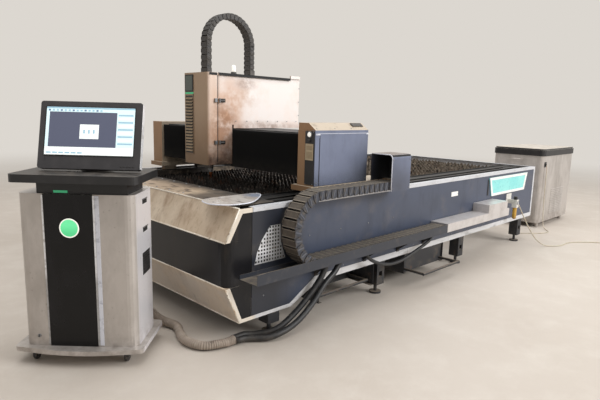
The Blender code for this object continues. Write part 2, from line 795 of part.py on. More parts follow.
def bed_rails(material, parent):
    """Linear guide and rack on each rail beam."""
    far = BED_LENGTH - RAIL_START
    low = RAIL_BEAM_TOP + TOUCH
    top = low + RAIL_BASE_HIGH
    base = sides_of_bed(RAIL_BASE_IN, RAIL_BASE_IN + RAIL_BASE_WIDE)
    guide = sides_of_bed(RAIL_CENTRE_IN - RAIL_WIDE / 2, RAIL_CENTRE_IN + RAIL_WIDE / 2)
    rack = sides_of_bed(RACK_CENTRE_IN - RACK_WIDE / 2, RACK_CENTRE_IN + RACK_WIDE / 2)
    for side, b, g, r in zip(("right", "left"), base, guide, rack):
        solids = [
            box(RAIL_START, far, *b, low, top),
            box(RAIL_START, far, *g, top - SHEET, RAIL_TOP),
            box(RAIL_START, far, *r, top - SHEET, RACK_TOP),
        ]
        part(f"rail_{side}", solids, material, parent)


def slat_table(material, parent):
    """Table frame with toothed slats standing across it."""
    y0, y1 = TABLE_IN, mirrored(TABLE_IN)
    solids = []
    for r0, r1 in sides_of_bed(TABLE_IN, TABLE_IN + TABLE_RAIL):
        solids.append(box(TABLE_START, TABLE_END, r0, r1, TABLE_RAIL_LOW, TABLE_RAIL_TOP))
    middle = BED_WIDTH / 2
    low = TABLE_RAIL_LOW
    half = TABLE_RAIL / 2
    solids.append(box(TABLE_START, TABLE_END, middle - half, middle + half, low, SLAT_LOW + SHEET))
    for x in (TABLE_START, TABLE_END - TABLE_RAIL):
        solids.append(box(x, x + TABLE_RAIL, y0, y1, low, SLAT_LOW + SHEET))
    s0, s1 = y0 + TABLE_RAIL / 2, y1 - TABLE_RAIL / 2
    tooth = (s1 - s0) / TOOTH_COUNT
    outline = [(s1, SLAT_LOW), (s0, SLAT_LOW)]
    for k in range(TOOTH_COUNT):
        outline.append((s0 + k * tooth, SLAT_TIP - TOOTH_DEEP))
        outline.append((s0 + (k + 0.5) * tooth, SLAT_TIP))
    outline.append((s1, SLAT_TIP - TOOTH_DEEP))
    first = TABLE_START + TABLE_RAIL
    pitch = (TABLE_END - TABLE_START - 2 * TABLE_RAIL) / (SLAT_COUNT - 1)
    for k in range(SLAT_COUNT):
        x = first + k * pitch
        solids.append(prism(outline, "x", x - SLAT_THICK / 2, x + SLAT_THICK / 2))
    part("slat_table", solids, material, parent)


def drawers(material, parent):
    """Two slag drawers that pull out to the right by a bent tube handle."""
    for side, x0, y0 in zip(("near", "far"), DRAWER_STARTS, DRAWER_FRONTS):
        x1 = x0 + DRAWER_LONG
        y1 = y0 + DRAWER_DEEP
        home = (x0 + DRAWER_LONG / 2, y0, HANDLE_Z)
        slide = station(f"slide_drawer_{side}", parent, home)
        shell = box(x0, x1, y0, y1, DRAWER_LOW, DRAWER_TOP)
        left, right = x0 + HANDLE_INSET, x1 - HANDLE_INSET
        out = y0 - HANDLE_OUT
        inner = y0 + DRAWER_WALL / 2
        handle = [
            rod((left, inner, HANDLE_Z), (left, out, HANDLE_Z), HANDLE_R),
            rod((right, inner, HANDLE_Z), (right, out, HANDLE_Z), HANDLE_R),
            rod((left - HANDLE_R, out, HANDLE_Z), (right + HANDLE_R, out, HANDLE_Z), HANDLE_R),
        ]
        wall = DRAWER_WALL
        hollow = box(x0 + wall, x1 - wall, y0 + wall, y1 - wall,
                     DRAWER_LOW + wall, DRAWER_TOP + OVERRUN)
        part(f"drawer_{side}", [shell, *handle], material, slide, at=home, cuts=[hollow])


def chain_tray(material, parent):
    """Shelf with a front wall that carries the lower run of the X chain."""
    out = -TRAY_OUT
    back = -TOUCH
    floor = TRAY_FLOOR_Z
    outline = (
        (back, floor + LIP_DROP), (back, floor), (out, floor), (out, TRAY_WALL_TOP),
        (out + SHEET, TRAY_WALL_TOP), (out + SHEET, floor + SHEET), (back - SHEET, floor + SHEET),
        (back - SHEET, floor + LIP_DROP),
    )
    part("chain_tray", [prism(outline, "x", 0, TRAY_END)], material, parent)


def side_cover(material, parent):
    """Low stepped cover along the side behind the tray."""
    back = -TOUCH
    low = box(COVER_START, COVER_END, -TRAY_OUT, back, TRAY_FLOOR_Z, COVER_TOP)
    step = box(STEP_START, STEP_END, -TRAY_OUT, back, COVER_TOP - SHEET, STEP_TOP)
    hollow = box(COVER_START + SHEET, COVER_END - SHEET, SHEET - TRAY_OUT, back - SHEET,
                 TRAY_FLOOR_Z - OVERRUN, COVER_TOP - SHEET)
    part("side_cover", [low, step], material, parent, cuts=[hollow])


def side_plate(material, parent):
    """Backlit plate near the far end, left plain."""
    outline = (
        (PLATE_TOP_START, PLATE_TOP_Z), (PLATE_LOW_START, PLATE_LOW_Z),
        (PLATE_LOW_END, PLATE_LOW_Z), (PLATE_TOP_END, PLATE_TOP_Z),
    )
    plate = prism(outline, "y", -PLATE_THICK - TOUCH, -TOUCH)
    part("side_plate", [plate], material, parent)


def regulator(finishes, parent):
    """Air filter regulator with its bracket, bowl and turning knob."""
    y = -REG_OUT
    half = REG_BODY / 2
    long = REG_BRACKET_LONG / 2
    low, high = REG_BRACKET_LOW, REG_BRACKET_LOW + REG_BRACKET_HIGH
    body = [
        box(REG_X - half, REG_X + half, y - half, y + half, REG_BODY_LOW, REG_BODY_TOP),
        box(REG_X - long, REG_X + long, -2 * SHEET, -TOUCH, low, high),
        box(REG_X - half / 2, REG_X + half / 2, y + half - SHEET, -SHEET, low, REG_BODY_TOP - SHEET),
    ]
    part("regulator_body", body, finishes["casting"], parent)
    rings = (
        (REG_BOWL_R / 2, REG_BOWL_LOW), (REG_BOWL_R, REG_BOWL_LOW + REG_BOWL_R / 2),
        (REG_BOWL_R, REG_BODY_LOW - TOUCH),
    )
    bowl = turned(rings, 20, centre=(REG_X, y, 0))
    part("regulator_bowl", [bowl], finishes["bowl"], parent, smooth=True)
    home = (REG_X, y, REG_BODY_TOP)
    pivot = station("turn_regulator_knob", parent, home)
    rings = (
        (REG_KNOB_R, REG_BODY_TOP + TOUCH), (REG_KNOB_R, REG_BODY_TOP + REG_KNOB_HIGH * 0.8),
        (REG_KNOB_R * 0.8, REG_BODY_TOP + REG_KNOB_HIGH),
    )
    knob = turned(rings, 20, centre=(REG_X, y, 0))
    part("regulator_knob", [knob], finishes["knob"], pivot, at=home, smooth=True)


def gantry_boxes(finishes, gantry):
    """End boxes of the gantry with their ledges and bearing blocks."""
    boxes = sides_of_bed(BOX_IN, BOX_IN + BOX_WIDE)
    ledges = sides_of_bed(LEDGE_IN, LEDGE_IN + LEDGE_WIDE)
    bearings = sides_of_bed(RAIL_CENTRE_IN - BEARING_WIDE / 2, RAIL_CENTRE_IN + BEARING_WIDE / 2)
    for side, b, l, g in zip(("right", "left"), boxes, ledges, bearings):
        solids = [box(BOX_START, BOX_END, *b, LEDGE_LOW + SHEET, BOX_TOP)]
        end = HOOD_END if side == "right" else BOX_END + LEDGE_OUT
        solids.append(box(BOX_START - LEDGE_OUT, end, *l, LEDGE_LOW, BOX_LOW))
        for x in (BEARING_START, BEARING_START + BEARING_GAP):
            solids.append(box(x, x + BEARING_LONG, *g, RAIL_TOP + TOUCH, LEDGE_LOW + SHEET))
        if side == "right":
            solids += chain_bracket()
        part(f"box_{side}", solids, finishes["beige"], gantry)


def chain_bracket():
    """Bent bracket on the ledge that holds the moving end of the X chain from above."""
    x0, x1 = XCHAIN_END - XCHAIN_LINK, XCHAIN_END
    low = XCHAIN_Z + XCHAIN_R + XCHAIN_HIGH / 2 + TOUCH
    high = low + 2 * SHEET
    web = XCHAIN_WIDE - XCHAIN_OUT + TOUCH
    foot = BOX_LOW - 2 * SHEET
    return [
        box(x0, x1, -XCHAIN_OUT, web + 2 * SHEET, low, high),
        box(x0, x1, web, web + 2 * SHEET, foot, high),
        box(x0, x1, web, LEDGE_IN + SHEET, foot, BOX_LOW),
    ]


def box_cover(material, gantry):
    """Side sheet of the right end box with its raised panel and folded top."""
    y1 = BOX_IN - TOUCH
    y0 = y1 - COVER_PLATE
    low, high = BOX_LOW + TOUCH, BOX_TOP + SHEET
    inset = PANEL_INSET
    solids = [
        box(BOX_START, BOX_END, y0, y1, low, high),
        box(BOX_START, BOX_END, y0, BOX_IN + LIP_DROP, BOX_TOP + TOUCH, high),
        box(BOX_START + inset, BOX_END - inset / 2, y0 - PANEL_PROUD, y1 - SHEET, low + SHEET,
            high - inset / 2),
    ]
    part("box_cover", solids, material, gantry)


def control_strip(finishes, gantry):
    """Black strip on the front of the right end box with a lit push button."""
    y0 = BOX_IN
    y1 = y0 + STRIP_WIDE
    x1 = BOX_START - TOUCH
    x0 = x1 - STRIP_THICK
    y = BUTTON_IN
    strip = box(x0, x1, y0, y1, STRIP_LOW, BOX_TOP - SHEET)
    bore_r = BUTTON_R + TOUCH * 2
    bore = turned(((bore_r, x0 - OVERRUN), (bore_r, x1 + OVERRUN)), 24, axis="x",
                  centre=(0, y, BUTTON_Z))
    part("control_strip", [strip], finishes["black"], gantry, cuts=[bore])
    home = (x0, y, BUTTON_Z)
    slide = station("press_button", gantry, home)
    back = x0 + STRIP_THICK / 4
    rings = ((BUTTON_R * 0.8, x0 - BUTTON_OUT), (BUTTON_R, x0 - BUTTON_OUT * 0.7), (BUTTON_R, back))
    button = turned(rings, 24, axis="x", centre=(0, y, BUTTON_Z))
    part("strip_button", [button], finishes["button"], slide, at=home, smooth=True)


def beam(material, gantry):
    """Cross beam with its two guide rails."""
    y0 = BOX_IN + BOX_WIDE + TOUCH
    y1 = mirrored(y0)
    solids = [box(BEAM_START, BEAM_END, y0, y1, BEAM_LOW, BEAM_TOP)]
    for z in (CROSS_RAIL_LOW_Z, CROSS_RAIL_TOP_Z):
        solids.append(box(BEAM_START - CROSS_RAIL, BEAM_START + SHEET, y0, y1, z,
                          z + CROSS_RAIL_HIGH))
    part("beam", solids, material, gantry)


def bellows(material, gantry):
    """Pleated covers over the guide rails at both sides of the head."""
    edge = BOX_IN + BOX_WIDE + 2 * TOUCH
    spans = {
        "right": (edge, HEAD_Y - CARRIAGE_HALF - TOUCH),
        "left": (HEAD_Y + CARRIAGE_HALF + TOUCH, mirrored(edge)),
    }
    for side, (y0, y1) in spans.items():
        count = 2 * BELLOWS_PLEATS
        front, back = [], []
        for k in range(count + 1):
            y = y0 + (y1 - y0) * k / count
            x = BELLOWS_FRONT if k % 2 else BELLOWS_BACK - BELLOWS_SKIN
            front.append((x, y))
            back.append((x + BELLOWS_SKIN, y))
        outline = front + back[::-1]
        part(f"bellows_{side}", [prism(outline, "z", BELLOWS_LOW, BELLOWS_TOP)], material, gantry)


def hood(material, gantry):
    """Sheet hood over the moving end of the X chain, open to the near end and below."""
    r, t = HOOD_R, SHEET
    y0, y1 = -HOOD_OUT, HOOD_IN
    rest = BOX_LOW + TOUCH
    outer = rounded(y0, y1, HOOD_LOW, HOOD_TOP, (0, 0, 0, r))
    inner = rounded(y0 + t, y1 - t, HOOD_LOW - OVERRUN, HOOD_TOP - t, (0, 0, 0, r - t))
    shell = prism(outer, "x", HOOD_START, HOOD_END)
    hollow = prism(inner, "x", HOOD_START - OVERRUN, HOOD_END - t)
    relief = box(HOOD_START - OVERRUN, HOOD_END + OVERRUN, y1 - t - OVERRUN, y1 + OVERRUN,
                 HOOD_LOW - OVERRUN, rest)
    part("hood", [shell], material, gantry, cuts=[hollow, relief])


def run_outline(length, thick, link, groove, deep):
    """Straight chain run from zero to a length with a groove between links on both faces."""
    count = max(1, round(length / link))
    step = length / count
    top, low = [(0, thick / 2)], [(0, -thick / 2)]
    for k in range(1, count):
        for face, sign in ((top, 1), (low, -1)):
            full, cut = sign * thick / 2, sign * (thick / 2 - deep)
            x0, x1 = k * step - groove / 2, k * step + groove / 2
            face += [(x0, full), (x0, cut), (x1, cut), (x1, full)]
    top.append((length, thick / 2))
    low.append((length, -thick / 2))
    return top + low[::-1]


def bend_outline(radius, thick, link, groove, deep, start, sweep):
    """Chain bend about the origin with a groove between links on the outer face."""
    count = max(3, round(radius * abs(sweep) / link))
    outer, inner = [], []

    def spot(r, angle):
        return (r * math.cos(angle), r * math.sin(angle))

    half = groove / radius / 2 * (1 if sweep > 0 else -1)
    for k in range(count + 1):
        angle = start + sweep * k / count
        full = radius + thick / 2
        if 0 < k < count:
            outer += [spot(full, angle - half), spot(full - deep, angle - half),
                      spot(full - deep, angle + half), spot(full, angle + half)]
        else:
            outer.append(spot(full, angle))
        inner.append(spot(radius - thick / 2, angle))
        if k < count:
            middle = start + sweep * (k + 0.5) / count
            outer.append(spot(full, middle))
            inner.append(spot(radius - thick / 2, middle))
    return outer + inner[::-1]


def moved(outline, x, z):
    """Outline shifted in its plane."""
    return [(a + x, b + z) for a, b in outline]


def x_chain(material, machine, gantry):
    """Energy chain of the long axis: upper run, travelling bend and lower run in the tray."""
    y0, y1 = -XCHAIN_OUT, XCHAIN_WIDE - XCHAIN_OUT
    shape = (XCHAIN_HIGH, XCHAIN_LINK, XCHAIN_GROOVE, XCHAIN_GROOVE_DEEP)
    upper = run_outline(XCHAIN_END - XCHAIN_X - TOUCH, *shape)
    upper = moved(upper, XCHAIN_X + TOUCH, XCHAIN_Z + XCHAIN_R)
    part("chain_upper", [prism(upper, "y", y0, y1)], material, gantry)
    home = (XCHAIN_X, (y0 + y1) / 2, XCHAIN_Z)
    bend = bend_outline(XCHAIN_R, *shape, RIGHT_ANGLE, math.pi)
    slide = station("slide_chain_bend", gantry, home)
    bend = prism(moved(bend, XCHAIN_X, XCHAIN_Z), "y", y0, y1)
    part("chain_bend", [bend], material, slide, at=home)
    lower = run_outline(XCHAIN_FIXED - XCHAIN_X - TOUCH, *shape)
    lower = moved(lower, XCHAIN_X + TOUCH, XCHAIN_Z - XCHAIN_R)
    part("chain_lower", [prism(lower, "y", y0, y1)], material, machine)


def z_chain(material, head):
    """Arched energy chain above the head cover."""
    y0, y1 = HEAD_Y - ZCHAIN_WIDE / 2, HEAD_Y + ZCHAIN_WIDE / 2
    shape = (ZCHAIN_HIGH, ZCHAIN_LINK, ZCHAIN_GROOVE, ZCHAIN_GROOVE_DEEP)
    arch = bend_outline(ZCHAIN_R, *shape, 0, math.pi)
    full, half = ZCHAIN_HIGH, ZCHAIN_HIGH / 2
    legs = []
    ends = ((ZCHAIN_X - ZCHAIN_R, ZCHAIN_FOOT), (ZCHAIN_X + ZCHAIN_R, HEAD_TOP + TOUCH))
    for x, low in ends:
        run = run_outline(ZCHAIN_Z - low + TOUCH, *shape)
        legs.append(prism([(x + b, low + a) for a, b in run], "y", y0, y1))
    x = ZCHAIN_X + ZCHAIN_R
    low = HEAD_TOP + TOUCH
    foot = box(x - full, x + full, y0 - SHEET, y1 + SHEET, low, low + 2 * SHEET)
    cheek = box(x - half, x + half, y0 - SHEET, y0 + SHEET, low, low + full)
    arch = prism(moved(arch, ZCHAIN_X, ZCHAIN_Z), "y", y0, y1)
    part("z_chain", [arch, *legs, foot, cheek], material, head)


def head_cover(material, head):
    """Folded sheet cover over the carriage, open below, with the door's opening in its side."""
    t = SHEET
    y0, y1 = HEAD_Y - HEAD_HALF, HEAD_Y + HEAD_HALF
    radii = (HEAD_R, 0, 0, HEAD_R)
    front = rounded(HEAD_FRONT, HEAD_STEP_X, y0, y1, radii)
    shell = [
        prism(front, "z", HEAD_LOW, HEAD_TOP),
        box(HEAD_STEP_X - HEAD_R, HEAD_BACK, y0, y1, HEAD_STEP_Z, HEAD_TOP),
    ]
    room = rounded(HEAD_FRONT + t, HEAD_STEP_X - t, y0 + t, y1 - t,
                   (HEAD_R - t, 0, 0, HEAD_R - t))
    top = HEAD_TOP - t
    passage = (HEAD_FRONT + HEAD_HALF, HEAD_STEP_X + OVERRUN)
    inner_half = CARRIAGE_HALF + OVERRUN
    border = DOOR_BORDER
    opening = [
        box(DOOR_X + DOOR_GAP + border, HEAD_STEP_X - border, y0 - OVERRUN, y0 + 2 * t,
            HEAD_LOW + border, HEAD_STEP_Z + 2 * border),
        box(DOOR_X + DOOR_GAP + border, HEAD_BACK - border, y0 - OVERRUN, y0 + 2 * t,
            HEAD_STEP_Z + border, HEAD_TOP - border),
    ]
    chain_x = ZCHAIN_X - ZCHAIN_R
    chain_half = ZCHAIN_HIGH / 2 + CHAIN_HOLE
    chain_wide = ZCHAIN_WIDE / 2 + CHAIN_HOLE
    cuts = [
        prism(room, "z", HEAD_LOW - OVERRUN, top),
        box(HEAD_STEP_X - HEAD_R, HEAD_BACK - t, y0 + t, y1 - t, HEAD_STEP_Z - OVERRUN, top),
        box(*passage, HEAD_Y - inner_half, HEAD_Y + inner_half, HEAD_LOW - OVERRUN,
            HEAD_STEP_Z + OVERRUN),
        box(chain_x - chain_half, chain_x + chain_half, HEAD_Y - chain_wide, HEAD_Y + chain_wide,
            top - OVERRUN, HEAD_TOP + OVERRUN),
        *opening,
    ]
    part("head_cover", shell, material, head, cuts=cuts)


def head_door(material, head):
    """L-shaped side door with two hinge barrels on its front edge."""
    y1 = HEAD_Y - HEAD_HALF - TOUCH
    y0 = y1 - SHEET
    low, high = HEAD_LOW + DOOR_GAP, HEAD_TOP - DOOR_GAP
    x0 = DOOR_X + DOOR_GAP
    outline = (
        (x0, low), (HEAD_STEP_X - DOOR_GAP, low), (HEAD_STEP_X - DOOR_GAP, HEAD_STEP_Z + DOOR_GAP),
        (HEAD_BACK - DOOR_GAP, HEAD_STEP_Z + DOOR_GAP), (HEAD_BACK - DOOR_GAP, high), (x0, high),
    )
    home = (DOOR_X, y0 - HINGE_R, HEAD_LOW)
    pivot = station("hinge_head_door", head, home)
    solids = [prism(outline, "y", y0, y1)]
    for z in HINGE_STATIONS:
        barrel = ((HINGE_R, z), (HINGE_R, z + HINGE_HIGH))
        solids.append(turned(barrel, 12, centre=(DOOR_X, y0 - HINGE_R, 0)))
        solids.append(box(DOOR_X, x0 + HINGE_HIGH, y0 - SHEET, y0 + SHEET / 2, z, z + HINGE_HIGH))
    part("head_door", solids, material, pivot, at=home)


def head_front(finishes, head):
    """Louvred panel and window with its light bar on the cover's front."""
    x1 = HEAD_FRONT - TOUCH
    x0 = x1 - PANEL_THICK
    y1 = HEAD_Y + HEAD_HALF - LOUVRE_IN - HEAD_R / 2
    y0 = y1 - LOUVRE_WIDE
    pitch = (LOUVRE_TOP - LOUVRE_LOW) / LOUVRE_COUNT
    outline = [(x1, LOUVRE_TOP), (x1, LOUVRE_LOW)]
    for k in range(LOUVRE_COUNT):
        z = LOUVRE_LOW + k * pitch
        outline.append((x0 - LOUVRE_OUT, z + pitch / 6))
        outline.append((x0, z + pitch))
    middle = (LOUVRE_TOP + WINDOW_LOW) / 2
    solids = [
        prism(outline, "y", y0, y1),
        box(x0, x1, y0, y1, LOUVRE_TOP - SHEET, WINDOW_TOP),
        box(x0 - PANEL_THICK, x0 + SHEET / 2, y0, y1, middle, WINDOW_LOW),
    ]
    part("head_front", solids, finishes["black"], head)


def cover_lamp(material, head):
    """Small lamp on a round base on top of the cover."""
    z = HEAD_TOP + TOUCH
    rings = (
        (LAMP_BASE_R, z), (LAMP_BASE_R, z + LAMP_BASE_HIGH), (LAMP_R, z + LAMP_BASE_HIGH),
        (LAMP_R, z + LAMP_HIGH - LAMP_R / 2), (LAMP_R / 2, z + LAMP_HIGH),
    )
    lamp = turned(rings, 20, centre=(LAMP_X, LAMP_Y, 0))
    part("cover_lamp", [lamp], material, head, smooth=True)


def carriage(material, head):
    """Carriage plate on the cross rails with the saddle plate over the beam."""
    y0, y1 = HEAD_Y - CARRIAGE_HALF, HEAD_Y + CARRIAGE_HALF
    back = BEAM_START - CROSS_RAIL - TOUCH
    wide0, wide1 = HEAD_Y - HEAD_HALF + SHEET + TOUCH, HEAD_Y + HEAD_HALF - SHEET - TOUCH
    low = SADDLE_Z
    solids = [
        box(CARRIAGE_FRONT, back, y0, y1, CARRIAGE_LOW, SADDLE_Z + SHEET),
        box(CARRIAGE_FRONT, SADDLE_END, wide0, wide1, low, low + SADDLE_THICK),
    ]
    part("carriage", solids, material, head)


def cutting_head(material, slide, home):
    """Z slide plate with the cutting head and its nozzle."""
    x1 = CARRIAGE_FRONT - TOUCH
    x0 = x1 - ZPLATE_THICK
    half = ZPLATE_HALF
    shelf_x = ZCHAIN_X - ZCHAIN_R
    rings = (
        (NOZZLE_TIP_R, NOZZLE_TIP_Z), (NOZZLE_TOP_R, NOZZLE_NECK_Z), (NOZZLE_TOP_R, TORCH_LOW),
        (TORCH_R, TORCH_LOW + NOZZLE_TIP_R), (TORCH_R, TORCH_TOP),
    )
    solids = [
        box(x0, x1, HEAD_Y - half, HEAD_Y + half, ZPLATE_LOW, ZPLATE_TOP),
        turned(rings, 20, centre=(TORCH_X, HEAD_Y, 0)),
        box(TORCH_X, x0 + SHEET, HEAD_Y - TORCH_R, HEAD_Y + TORCH_R, CLAMP_LOW,
            CLAMP_LOW + CLAMP_HIGH),
        box(shelf_x - ZCHAIN_HIGH, x0 + SHEET, HEAD_Y - half, HEAD_Y + half, CHAIN_SHELF_Z,
            ZCHAIN_FOOT - TOUCH),
    ]
    part("cutting_head", solids, material, slide, at=home)


def console(finishes, machine):
    """Operator console on castors, turned to face the near right corner."""
    place = (CONSOLE_X, CONSOLE_Y, 0)
    unit = station("console", machine, place, yaw=CONSOLE_YAW, frame=(0, 0, 0))
    shell = prism(rounded(CON_LEFT, CON_RIGHT, 0, CON_DEEP, (CON_R,) * 4), "z", CON_LOW, CON_TOP)
    t = SHEET
    room = rounded(CON_LEFT + t, CON_RIGHT - t, t, CON_DEEP - t, (CON_R - t,) * 4)
    hollow = prism(room, "z", CON_LOW - OVERRUN, CON_TOP - t)
    part("console_shell", [shell], finishes["silver"], unit, cuts=[hollow])
    face = box(CON_PANEL_LEFT, CON_PANEL_RIGHT, -CON_PANEL_THICK, -TOUCH, CON_LOW, CON_TOP)
    disc_rings = ((DISC_R, -2 * CON_PANEL_THICK), (DISC_R, -CON_PANEL_THICK / 2))
    disc = turned(disc_rings, 32, axis="y", centre=(DISC_X, 0, DISC_Z))
    part("console_front", [face, disc], finishes["black"], unit)
    base = rounded(BASE_LEFT, BASE_RIGHT, BASE_FRONT, BASE_DEEP, (CON_R / 2,) * 4)
    steps = 8
    bow = []
    left, right = BASE_LEFT + CON_R / 2, BASE_RIGHT - CON_R / 2
    for k in range(1, steps):
        share = k / steps
        bow.append((left + (right - left) * share,
                    BASE_FRONT - BASE_BOW * math.sin(math.pi * share)))
    corner = len(base) // 4
    base = base[:corner] + bow + base[corner:]
    high = CON_LOW - TOUCH
    solids = [prism(base, "z", BASE_LOW, high)]
    for side in (-1, 1):
        x = side * CASTOR_X
        for cheek in (-1, 1):
            y0 = WHEEL_WIDE / 2 + TOUCH
            x0 = x + cheek * (y0 + FORK_WALL / 2)
            half = FORK_WALL / 2
            solids.append(box(x0 - half, x0 + half, CASTOR_REAR_Y - FORK_HALF_LONG,
                              CASTOR_REAR_Y + FORK_HALF_LONG, WHEEL_R - 2 * AXLE_R,
                              BASE_LOW + SHEET))
    part("console_base", solids, finishes["silver"], unit)
    console_top(finishes, unit)
    castors(finishes, unit)


def console_top(finishes, unit):
    """Tray with its neck, tilted monitor housing and screen."""
    slab = rounded(TRAY_LEFT, TRAY_RIGHT, TRAY_FRONT, TRAY_BACK, (CTRAY_R,) * 4)
    solids = [
        prism(slab, "z", CTRAY_LOW, CTRAY_TOP),
        box(NECK_LEFT, NECK_RIGHT, NECK_FRONT, NECK_BACK, CON_TOP + TOUCH, CTRAY_LOW + SHEET),
    ]
    home = ((MON_LEFT + MON_RIGHT) / 2, MON_Y, MON_LOW)
    half = (MON_RIGHT - MON_LEFT) / 2
    x, y, z = home
    lean = y + MON_THICK / math.cos(MON_TILT) - math.tan(MON_TILT) * STAND_HIGH + TOUCH
    solids.append(box(x - STAND_WIDE / 2, x + STAND_WIDE / 2, lean, lean + STAND_DEEP,
                      CTRAY_TOP - SHEET, z + STAND_HIGH))
    part("console_tray", solids, finishes["black"], unit)
    tilt = station("monitor_tilt", unit, home)
    tilt.rotation_euler = (MON_TILT, 0, 0)
    outline = rounded(x - half, x + half, z, z + MON_HIGH, (MON_R,) * 4)
    frame = prism(outline, "y", y, y + MON_THICK)
    bezel = MON_BEZEL
    recess = box(x - half + bezel, x + half - bezel, y - OVERRUN, y + SCREEN_THICK + TOUCH,
                 z + bezel, z + MON_HIGH - bezel)
    part("monitor", [frame], finishes["black"], tilt, at=home, cuts=[recess])
    glass = box(x - half + bezel + TOUCH, x + half - bezel - TOUCH, y, y + SCREEN_THICK,
                z + bezel + TOUCH, z + MON_HIGH - bezel - TOUCH)
    part("screen", [glass], finishes["screen"], tilt, at=home)


def castors(finishes, unit):
    """Two swivelling front castors and the wheels of all four."""
    axle_high = WHEEL_R
    for side, name in ((-1, "left"), (1, "right")):
        x = side * CASTOR_X
        home = (x, CASTOR_FRONT_Y, BASE_LOW)
        swivel = station(f"swivel_{name}", unit, home)
        y = CASTOR_FRONT_Y + CASTOR_TRAIL
        inner = WHEEL_WIDE / 2 + TOUCH
        outer = inner + FORK_WALL
        half = FORK_HALF_LONG
        low = axle_high - 2 * AXLE_R
        top = BASE_LOW - TOUCH
        crown = top - 2 * FORK_WALL + TOUCH
        solids = [box(x - outer, x + outer, y - half - CASTOR_TRAIL, y + half, crown, top)]
        for x0, x1 in ((x - outer, x - inner), (x + inner, x + outer)):
            solids.append(box(x0, x1, y - half, y + half, low, crown + FORK_WALL))
        part(f"fork_{name}", solids, finishes["steel"], swivel, at=home)
        wheel(f"wheel_front_{name}", finishes["tyre"], swivel, (x, y, axle_high))
        wheel(f"wheel_rear_{name}", finishes["tyre"], unit, (x, CASTOR_REAR_Y, axle_high))


def wheel(name, material, parent, home):
    """Castor wheel turning about its axle."""
    pivot = station(f"axle_{name}", parent, home)
    half = WHEEL_WIDE / 2
    edge = WHEEL_R - half / 3
    rings = ((edge, -half), (WHEEL_R, -half / 2), (WHEEL_R, half / 2), (edge, half))
    tyre = turned([(r, h + home[0]) for r, h in rings], 24, axis="x", centre=(0, home[1], home[2]))
    part(name, [tyre], material, pivot, at=home, smooth=True)


def cabinet(finishes, machine):
    """Laser source cabinet beyond the far end with a hinged door and a plain top."""
    radii = (CAB_R,) * 4
    body = prism(rounded(CAB_START, CAB_END, CAB_RIGHT, CAB_LEFT, radii), "z",
                 CAB_BODY_LOW, CAB_BODY_TOP)
    border = CAB_DOOR_BORDER + CAB_R
    y0, y1 = CAB_RIGHT + border, CAB_LEFT - border
    low, high = CAB_BODY_LOW + CAB_DOOR_BORDER, CAB_BODY_TOP - CAB_DOOR_BORDER
    t = SHEET
    room = box(CAB_START - OVERRUN, CAB_END - t, y0, y1, low, high)
    plinth = [box(CAB_START + CAB_R, CAB_END - CAB_R, CAB_RIGHT + CAB_R / 2,
                  CAB_LEFT - CAB_R / 2, CAB_PLINTH, CAB_BODY_LOW + SHEET)]
    for x in (CAB_START + 2 * CAB_R, CAB_END - 2 * CAB_R):
        for y in (CAB_RIGHT + CAB_R, CAB_LEFT - CAB_R):
            foot = ((CAB_FOOT_R, 0), (CAB_FOOT_R, CAB_PLINTH + SHEET))
            plinth.append(turned(foot, 16, centre=(x, y, 0)))
    part("cabinet_shell", [body, *plinth], finishes["silver"], machine, cuts=[room])
    out = CAB_BAND_OUT
    band = rounded(CAB_START - out, CAB_END + out, CAB_RIGHT - out, CAB_LEFT + out, radii)
    lid = rounded(CAB_START, CAB_END, CAB_RIGHT, CAB_LEFT, radii)
    solids = [
        prism(band, "z", CAB_BODY_TOP + TOUCH, CAB_BAND_TOP),
        prism(lid, "z", CAB_BAND_TOP - SHEET, CAB_TOP),
    ]
    part("cabinet_top", solids, finishes["black"], machine)
    x1 = CAB_START - TOUCH
    x0 = x1 - CAB_DOOR_THICK
    margin = CAB_DOOR_BORDER / 2
    d0, d1 = y0 - margin, y1 + margin
    home = (x0, d1, low)
    pivot = station("hinge_cabinet_door", machine, home)
    middle = (d0 + d1) / 2
    z = high + margin - CAB_HANDLE_OUT
    half = CAB_HANDLE_HALF
    out = x0 - CAB_HANDLE_OUT
    r = CAB_HANDLE_R
    solids = [
        box(x0, x1, d0, d1, low - margin, high + margin),
        rod((out, middle - half - r, z), (out, middle + half + r, z), r),
        rod((x0 + SHEET / 2, middle - half, z), (out, middle - half, z), r),
        rod((x0 + SHEET / 2, middle + half, z), (out, middle + half, z), r),
    ]
    part("cabinet_door", solids, finishes["silver"], pivot, at=home)


